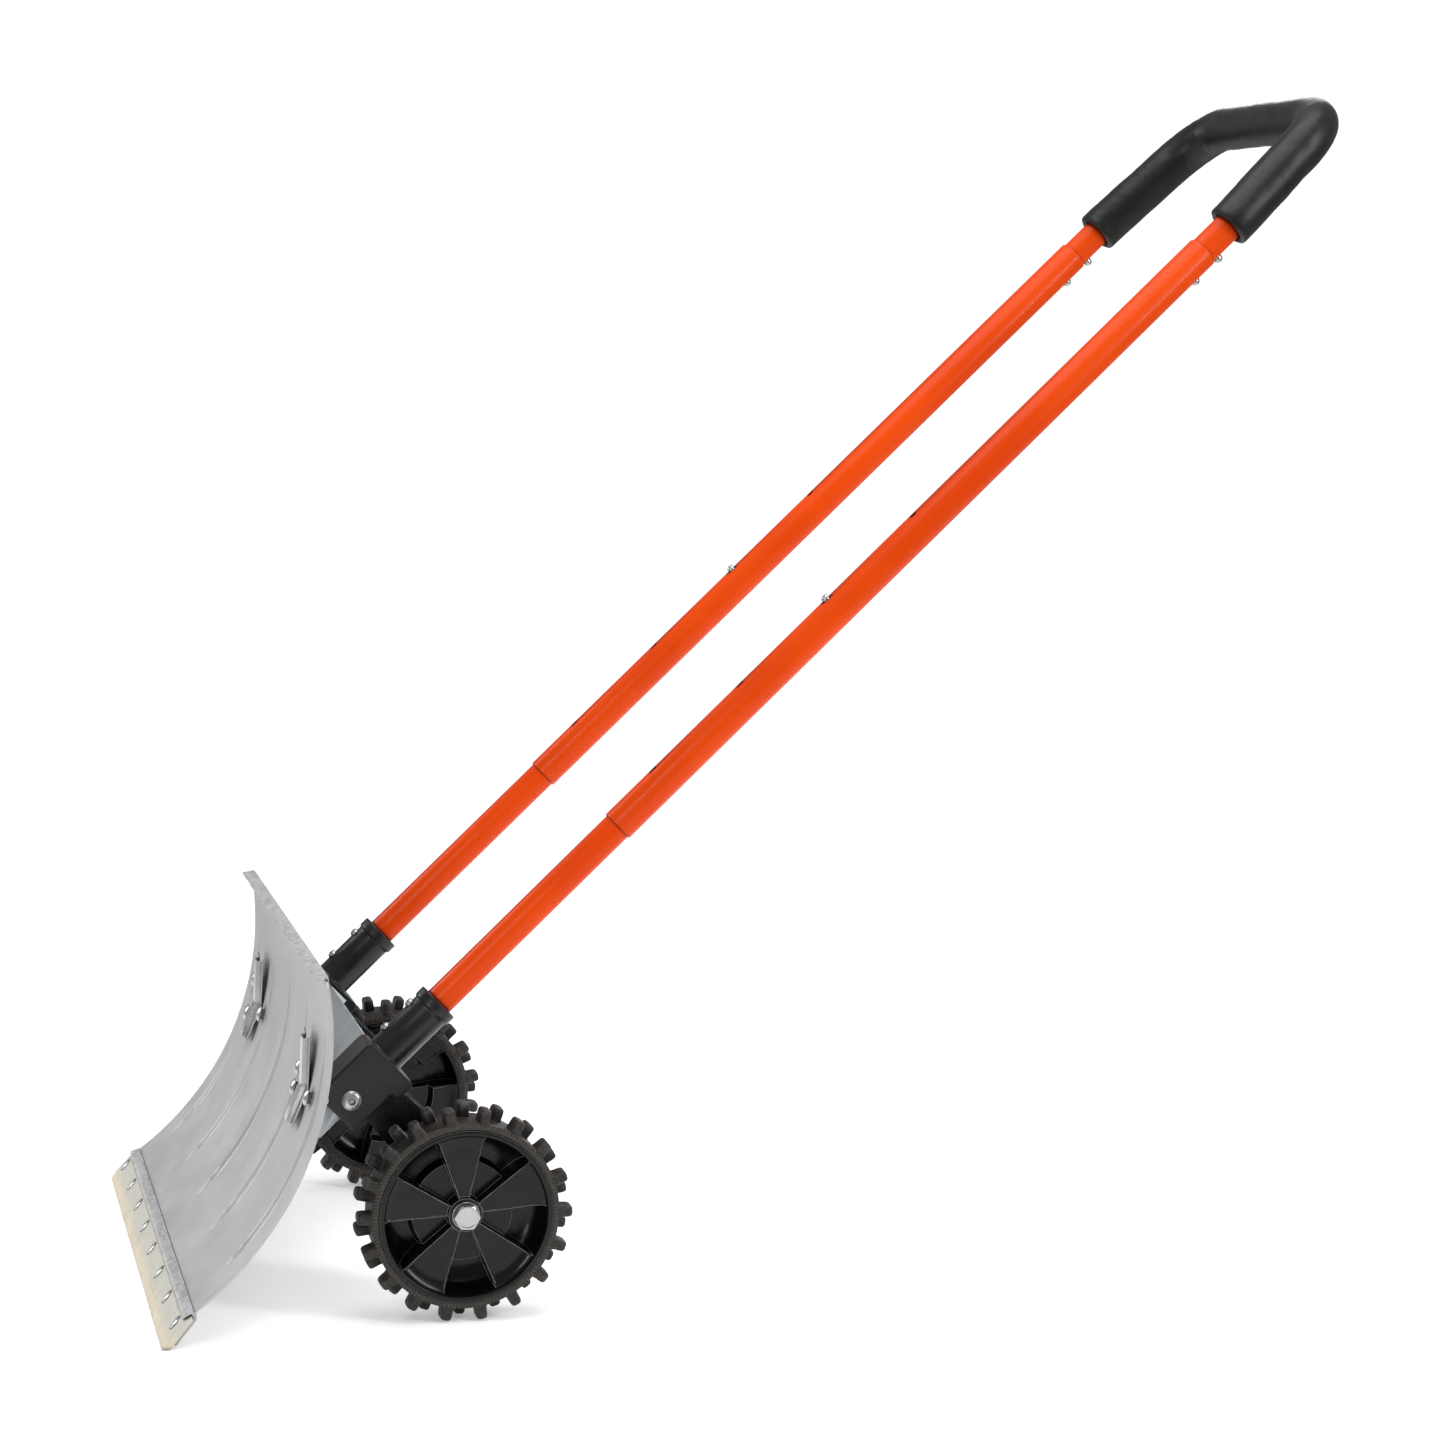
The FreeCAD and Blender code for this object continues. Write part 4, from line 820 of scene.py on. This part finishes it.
def make_cheek_bolts():
    """Domed bolts with a rim and a round recess, threaded through the nut."""
    form = Form()
    for _, side in SIDES:
        frame = pivot_frame(side, 174)
        radii = [0.0, 1.0, 2.0, 2.5, 2.75, 2.9, 3.05, 3.2, 3.6, 4.2, 5.0, 5.8, 6.4, 6.9, 7.2, 7.35, 7.6, 8.0,
                 8.2, 8.3]

        def height(reach, angle):
            if reach > 7.25:
                return 1.6 - 0.9 * smooth(reach, 7.6, 8.35)
            dome = 1.9 + 2.3 * math.sqrt(max(0.0, 1 - (reach / 7.4) ** 2))
            return dome - 2.0 * smooth(reach, 3.15, 2.8)

        form.polar(frame, radii, height, steps=72)
        form.lathe(frame, [(0, 0.3), (4, 0.3)] + thread(4, -53, -40, 1.25), 36)
    add_piece("cheek_bolts_domed", form, "bright_zinc", "chassis", "cheek_bolts")


# ---- wheels
def hub_angles():
    """Round the hub, close together where a panel ends."""
    near = (-3.5, -2.0, -1.1, -0.5, -0.2, -0.06, 0.06, 0.2, 0.5, 0.9, 1.3, 1.7, 2.1, 2.5, 2.7, 3.1, 4.0, 5.2)
    angles = []
    for panel in range(PANELS):
        middle = PANEL_PHASE + panel * 360 / PANELS
        angles += [middle - PANEL / 2 + offset for offset in near]
        angles += [middle - PANEL / 2 + 7 + 3.0 * k for k in range(8)]
        angles += [middle + PANEL / 2 - offset for offset in reversed(near)]
        angles += [middle + PANEL / 2 + 6 + 3.125 * k for k in range(9)]
    return angles


def inside_panel(angle):
    """Degrees inside a raised panel; negative between panels."""
    pitch = 360 / PANELS
    return PANEL / 2 - abs((angle - PANEL_PHASE + pitch / 2) % pitch - pitch / 2)


def boss(radius):
    """1 on the boss round the bore, 0 outside it."""
    return smooth(radius, 14.9, 13.9)


def well(radius):
    """How far a pocket drops beyond its inner plateau."""
    return 13 * smooth(radius, 42, 45)


def hub_outside(radius, angle):
    """The face seen from outside: raised panels with beaded edges, deep pockets, coves up to the rim."""
    inside = inside_panel(angle)
    crown = 1 - ((PANEL / 2 - inside) / (PANEL / 2)) ** 2
    panel = 220.6 + 8.2 * cove(radius, 53, 68.3) + 1.3 * bump(inside, 0.9, 1.0) * smooth(radius, 67, 60)
    panel += 0.5 * crown * smooth(radius, 20, 50) * smooth(radius, 62, 50)
    floor = 208 - well(radius) + 16 * cove(radius, 47, 68)
    face = floor + (panel - floor) * smooth(inside, -0.08, 0.14)
    return face + (224 - face) * boss(radius)


def hub_inside(radius, angle):
    """The face towards the bracket, a wall's thickness behind the outer one."""
    inside = inside_panel(angle) - 2.6
    panel = 217.6 - 16 * cove(radius, 50, 68)
    floor = 205 - well(radius) - 3 * cove(radius, 52, 68.3) - 0.8 * bump(inside, -1.2, 1.3)
    face = floor + (panel - floor) * smooth(inside, -0.08, 0.14)
    return face + (187 - face) * boss(radius)


def make_hub(name, side):
    radii = [6.1, 6.6, 9, 12.5, 13.5, 13.9, 14.2, 14.5, 14.9, 16, 18.5, 22, 26, 30, 34, 38, 38.8, 39.4, 40,
             40.6, 41.2, 42, 45, 48, 50, 52, 54, 56, 58, 60, 61.5, 63, 64.2, 65.2, 66, 66.7, 67.1, 67.4]
    rim = [(67.5, 228.6), (67.65, 229.3), (68.0, 229.8), (68.6, 230.0), (71.2, 230.0), (71.7, 229.8),
           (71.95, 229.3), (72, BAND_OUTER), (72, BAND_INNER), (71.95, 186.7), (71.7, 186.2), (71.2, 186.0),
           (68.6, 186.0), (68.0, 186.2), (67.65, 186.7), (67.5, 187.4)]
    angles = hub_angles()

    def bored(radius, angle):
        """The outer face, with the edge of its bore broken."""
        return hub_outside(radius, angle) - (0.5 if radius < 6.3 else 0)

    rows = [[wheel_point(side, bored(r, a), r, a) for a in angles] for r in radii]
    rows += [[wheel_point(side, x, r, a) for a in angles] for r, x in rim]
    rows += [[wheel_point(side, hub_inside(r, a), r, a) for a in angles] for r in reversed(radii)]
    form = Form().grid(rows, loop=True)
    add_piece(f"hub_{name}_moulded", form, "hub_plastic", f"wheel_{name}", f"hub_{name}")


def lug_ring(side, row, turned, uneven, section):
    """One section of a lug: a flat rounded rectangle, square to the wheel's radius."""
    radius, reach, gap, half = section
    outer, inner = BAND_OUTER + reach, BAND_MIDDLE + gap
    middle, length = (outer + inner) / 2, (outer - inner) / 2
    ring = []
    for step in range(28):
        a = math.tau * step / 28
        c, s = math.cos(a), math.sin(a)
        along = length * math.copysign(abs(c) ** 0.5, c)
        across = (LUG_FLARE * half + uneven * 0.4) * math.copysign(abs(s) ** 0.5, s)
        x = middle + along if row > 0 else 2 * BAND_MIDDLE - middle - along
        degrees = turned + math.degrees(math.atan2(across, radius))
        ring.append(wheel_point(side, x, math.hypot(radius, across), degrees))
    return ring


def make_tyre(name, side):
    """A band whose side walls are finely serrated, and two staggered rows of thumb-shaped lugs."""
    # radius, how far the side wall stands out, and whether it is serrated
    wall = [(72.05, 0.0, 0), (72.5, 0.8, 0), (73.0, 1.2, 1), (74.2, 1.35, 1), (75.6, 1.2, 1), (76.6, 0.7, 1),
            (77.3, 0.0, 0), (77.6, -1.2, 0), (77.7, -3.0, 0)]
    # radius, shoulder's reach beyond the band, end next to the other row, half the width
    sections = [(74.2, 0.9, 0.5, 5.0), (75.5, 1.5, 0.5, 5.1), (77.5, 1.7, 0.5, 5.0), (79.5, 1.6, 0.5, 4.7),
                (80.7, 1.0, 0.55, 4.5), (81.2, 0.5, 0.6, 4.5), (84.0, 0.3, 0.7, 4.5), (86.4, 0.0, 0.9, 4.35),
                (87.8, -0.6, 1.3, 4.0), (88.6, -1.5, 2.1, 3.3), (88.95, -3.0, 3.6, 2.2),
                (89.0, -5.5, 6.5, 0.8)]
    cuts = (0.0, 0.8, 0.8, 0.0)
    profile = [(r, BAND_OUTER + out, cut) for r, out, cut in wall]
    profile += [(r, BAND_INNER - out, -cut) for r, out, cut in reversed(wall)]
    form = Form()
    form.grid([[wheel_point(side, x - cut * cuts[k % 4], radius, 90 * k / SERRATIONS)
                for k in range(4 * SERRATIONS)] for radius, x, cut in profile], loop=True)
    for row, phase in ((1, 0.0), (-1, 180 / LUGS)):
        for k in range(LUGS):
            turned = phase + 360 * k / LUGS
            uneven = 0.25 * math.sin(2.4 * k + row)
            form.grid([lug_ring(side, row, turned, uneven, section) for section in sections], capped=True)
    add_piece(f"tyre_{name}_moulded", form, "tread_rubber", f"wheel_{name}", f"tyre_{name}")


def make_axle_bolts():
    """Chamfered hexagon heads on shanks that are threaded through the nut."""
    for name, side in SIDES:
        form = Form()
        frame = outwards(side, 226, *AXLE)
        apothem = AXLE_HEAD * math.cos(math.pi / 6)

        def height(reach, angle):
            dish = 0.4 * smooth(reach, apothem * 0.86, apothem * 0.80)
            return 7.5 - max(0.0, reach - apothem * 0.985) * HEAD_CHAMFER - dish

        shares = [0.0, 0.3, 0.55, 0.62, 0.66, 0.70, 0.73, 0.76, 0.79, 0.82, 0.85, 0.88, 0.92, 0.96, 1.0]
        form.polar(frame @ turn(30, "Z"), [AXLE_HEAD * share for share in shares], height, hexagon_edge)
        form.lathe(frame, [(0, 0.3), (6, 0.3)] + thread(6, -99, -80, 1.75), 40)
        add_piece(f"axle_bolt_{name}_hexagon", form, "bright_zinc", "chassis", f"axle_bolt_{name}")


# ---- handle
def tube_profile(low, high, outer, bore):
    """A closed profile with rounded lips at both ends."""
    lip = min(0.5, (outer - bore) / 2.2)
    cut = lip * 0.3
    return [(bore, low + lip), (bore + lip, low), (outer - lip, low), (outer - cut, low + cut),
            (outer, low + lip), (outer, low + 0.5 * (high - low)), (outer, high - lip),
            (outer - cut, high - cut), (outer - lip, high), (bore + lip, high), (bore, high - lip)]


def drills(places):
    form = Form()
    for x, along, facing, radius in places:
        form.lathe(out_of_tube(x, along, facing), [(0, 5), (radius, 5), (radius, 22), (0, 22)], 40)
    return form


def add_tube(name, side, kind, body, profile, places):
    """A straight tube, drilled at places given as distance along it, facing and radius."""
    x = side * TUBE_X
    form = Form().lathe(tube_frame(x, 0), profile, 96, loop=True)
    holes = drills([(x, *place) for place in places])
    add_piece(f"{kind}_{name}_coated", form, "orange_paint", body, f"{kind}_{name}", holes=holes)


def make_tubes():
    lower = tube_profile(-50, 500, INNER_TUBE, INNER_BORE)
    upper = tube_profile(208, 912, OUTER_TUBE, OUTER_BORE)
    low_holes = [(LENGTH_BUTTON, 1, HOLE)] + [(along, 1, 2.25) for along in SCREWS]
    high_holes = [(262 + 103 * k, 1, HOLE) for k in range(4)] + [(HANDLE_BUTTON_LOW, -1, HOLE)]
    for name, side in SIDES:
        add_tube(name, side, "lower_tube", "chassis", lower, low_holes)
        add_tube(name, side, "upper_tube", "upper_tubes", upper, high_holes)


def u_path(foot, step):
    """The handle's U from one foot to the other: X, distance along the tubes, heading, and length so far."""
    knee_reach = KNEE_R * math.tan(math.radians(KNEE / 2))
    corner = 90 - KNEE
    corner_reach = CORNER_R * math.tan(math.radians(corner / 2))
    slant = (CROSSBAR_AT - KNEE_AT) / math.cos(math.radians(KNEE)) - knee_reach - corner_reach
    bar = TUBE_X - (CROSSBAR_AT - KNEE_AT) * math.tan(math.radians(KNEE)) - corner_reach
    x, along, heading, gone = TUBE_X, foot, 0.0, 0.0
    half = [(x, along, heading, gone)]
    for length, bend, radius in ((KNEE_AT - knee_reach - foot, 0, 0), (0, KNEE, KNEE_R), (slant, 0, 0),
                                 (0, corner, CORNER_R), (bar, 0, 0)):
        arc = length or math.radians(bend) * radius
        count = max(2, round(arc / step))
        chord = 2 * radius * math.sin(math.radians(bend) / (2 * count)) if bend else arc / count
        for _ in range(count):
            middle = math.radians(heading + bend / (2 * count))
            x -= chord * math.sin(middle)
            along += chord * math.cos(middle)
            heading += bend / count
            gone += chord
            half.append((x, along, heading, gone))
    whole = 2 * half[-1][3]
    return half + [(-x, along, 180 - heading, whole - gone) for x, along, heading, gone in half[-2::-1]]


def swept(path, steps, radius):
    """Rings round the path; radius is a number, or is asked for with the station and angle."""
    frame = tube_frame(0, 0)
    rows = []
    for station in path:
        x, along, heading, _ = station
        h = math.radians(heading)
        outer = Vector((math.cos(h), 0, math.sin(h)))
        row = []
        for k in range(steps):
            a = math.tau * k / steps
            reach = radius(station, a) if callable(radius) else radius
            ahead = Vector((0, -1, 0)) * reach * math.sin(a)
            row.append(frame @ (Vector((x, 0, along)) + outer * reach * math.cos(a) + ahead))
        rows.append(row)
    return rows


def make_handle_tube():
    path = u_path(792, 5.0)
    form = Form().grid(swept(path, 80, INNER_TUBE) + swept(path, 80, INNER_BORE)[::-1], loop=True)
    holes = drills([(side * TUBE_X, along, -1, HOLE) for _, side in SIDES
                    for along in (HANDLE_BUTTON_LOW, HANDLE_BUTTON_HIGH)])
    add_piece("handle_tube_bent", form, "orange_paint", "handle", "handle_tube", holes=holes)


def make_foam_grip():
    """The foam sleeve: rounded lips round a thin gap, small dents, and creases inside its bends."""
    path = u_path(GRIP_FOOT, 2.0)
    length = path[-1][3]

    def skin(station, angle):
        x, along, heading, gone = station
        from_end = min(gone, length - gone)
        radius = GRIP_R - 3.2 * (1 - math.sqrt(max(0.0, 1 - (1 - min(1.0, from_end / 3.2)) ** 2)))
        turned = min(heading, 180 - heading)
        inner = max(0.0, -math.cos(angle)) ** 2
        ripple = 0.5 + 0.5 * math.sin(gone * math.tau / 13 + 2 * wander((gone, 0, 0), 20, 3.0))
        crease = bump(turned, 58, 34) * inner * ripple ** 4
        sag = bump(turned, 50, 46) * inner
        point = Vector((x + radius * math.cos(angle), radius * math.sin(angle), along))
        uneven = 0.28 * wander(point, 26, 2.0) + 0.10 * wander(point, 7, 9.0)
        return radius - 0.35 + uneven * min(1.0, from_end / 8) - 0.55 * crease - 0.5 * sag

    def mouth(depth):
        """The hollow of the sleeve's end, between its lip and the tube."""
        first, last = path[0], path[-1]
        return [(first[0], first[1] + depth, 0.0, 0.0), (last[0], last[1] + depth, 180.0, length)]

    rows = swept(path, 64, skin)
    for depth, radius in ((0.15, 16.0), (0.9, 14.6), (2.6, 13.6), (6.0, 12.9), (10.0, 12.55)):
        first, last = mouth(depth)
        rows.insert(0, swept([first], 64, radius)[0])
        rows.append(swept([last], 64, radius)[0])
    grip = add_piece("foam_grip_sleeve", Form().grid(rows), "foam", "handle", "foam_grip")


def make_buttons():
    """Domed snap buttons on shanks with a collar inside the tube."""
    profile = [(0, 17.6), (1.2, 17.5), (2.3, 17.1), (3.1, 16.45), (3.65, 15.6), (3.88, 14.6), (3.9, 13.5),
               (3.9, 9.3), (4.9, 9.3), (5.0, 9.1), (5.0, 8.2), (4.8, 8.0), (0, 8.0)]
    kinds = (("length_button", LENGTH_BUTTON, 1), ("handle_button_low", HANDLE_BUTTON_LOW, -1),
             ("handle_button_high", HANDLE_BUTTON_HIGH, -1))
    for name, side in SIDES:
        for kind, along, facing in kinds:
            node = f"{kind}_{name}"
            form = Form().lathe(out_of_tube(side * TUBE_X, along, facing), profile, 40)
            add_piece(node + "_domed", form, "bright_zinc", node, node)


# ---- stage, light and camera
def make_stage():
    """A sheet of pale paper that fades out round the object, so that no horizon shows."""
    floor = bpy.data.meshes.new("floor")
    reach = 4.0
    floor.from_pydata([(x * reach, y * reach, 0) for x, y in ((-1, -1), (1, -1), (1, 1), (-1, 1))], [],
                      [(0, 1, 2, 3)])
    thing = bpy.data.objects.new("floor", floor)
    bpy.context.scene.collection.objects.link(thing)
    s = Surface("floor_paper", Roughness=0.8, Emission_Color=(1.0, 1.0, 1.0, 1.0), Emission_Strength=0.3)
    s.color(s.mix(s.noise(0.4, 3, 0.5), (0.90, 0.90, 0.905), (0.93, 0.93, 0.93)))
    far = s.add("ShaderNodeVectorMath", {0: s.place}, operation="LENGTH").outputs["Value"]
    fade = s.band(s.math("ADD", far, s.math("MULTIPLY", s.noise(0.5), 0.1)), 0.75, 2.2)
    clear = s.add("ShaderNodeBsdfTransparent").outputs[0]
    blend = s.add("ShaderNodeMixShader", {0: fade, 1: s.shader.outputs[0], 2: clear}).outputs[0]
    s.tree.links.new(blend, s.tree.nodes["Material Output"].inputs["Surface"])
    floor.materials.append(s.bump(s.noise(0.002, 3, 0.6), 0.00005).done())


def softbox(name, place, target, size, power):
    light = bpy.data.lights.new(name, "AREA")
    light.shape, light.size, light.size_y, light.energy = "RECTANGLE", size[0], size[1], power
    thing = bpy.data.objects.new(name, light)
    thing.location = place
    thing.rotation_euler = (Vector(target) - Vector(place)).to_track_quat("-Z", "Y").to_euler()
    bpy.context.scene.collection.objects.link(thing)


def make_light():
    """White surroundings behind the object, dimmer as a source of light so that black stays black."""
    world = bpy.data.worlds.new("studio")
    world.use_nodes = True
    tree = world.node_tree
    glow = tree.nodes["Background"]
    glow.inputs[0].default_value = (1.0, 1.0, 1.0, 1.0)
    path = tree.nodes.new("ShaderNodeLightPath")
    strength = tree.nodes.new("ShaderNodeMapRange")
    strength.inputs["To Min"].default_value, strength.inputs["To Max"].default_value = 0.30, 1.05
    tree.links.new(path.outputs["Is Camera Ray"], strength.inputs["Value"])
    tree.links.new(strength.outputs[0], glow.inputs[1])
    bpy.context.scene.world = world
    for name, place, size, power in (("overhead", (0.2, -0.1, 3.0), (2.4, 2.4), 60),
                                     ("right_front", (-2.0, -2.8, 1.5), (0.9, 1.8), 36),
                                     ("left_front", (2.4, -2.4, 1.0), (0.5, 1.6), 26),
                                     ("left_back", (2.2, 2.4, 1.9), (0.5, 2.2), 60),
                                     ("right_back", (-2.4, 1.6, 1.6), (0.8, 1.8), 30)):
        softbox(name, place, (0, 0, 0.4), size, power)
    bpy.context.scene.view_settings.view_transform = "Standard"


def make_camera():
    camera = bpy.data.cameras.new("camera")
    camera.lens, camera.sensor_width = 80.97, 36.0
    camera.clip_start, camera.clip_end = 0.05, 80.0
    thing = bpy.data.objects.new("camera", camera)
    right, up = Vector((0.2561, 0.9662, 0.0282)).normalized(), Vector((-0.1270, 0.0047, 0.9919))
    back = right.cross(up).normalized()
    up = back.cross(right)
    turned = Matrix((right, up, back)).transposed().to_4x4()
    thing.matrix_world = Matrix.Translation((2.7727, -0.7471, 0.8238)) @ turned
    bpy.context.scene.collection.objects.link(thing)
    bpy.context.scene.camera = thing


dress_cad_nodes()
make_blade()
make_trim()
make_strip()
make_rail()
make_rivets()
make_blade_bolts()
make_straps()
make_nuts()
make_washers()
make_sockets()
make_rounded_copies()
make_screws()
make_cheek_bolts()
for side_name, side_sign in SIDES:
    make_hub(side_name, side_sign)
    make_tyre(side_name, side_sign)
make_axle_bolts()
make_tubes()
make_handle_tube()
make_foam_grip()
make_buttons()
make_stage()
make_light()
make_camera()
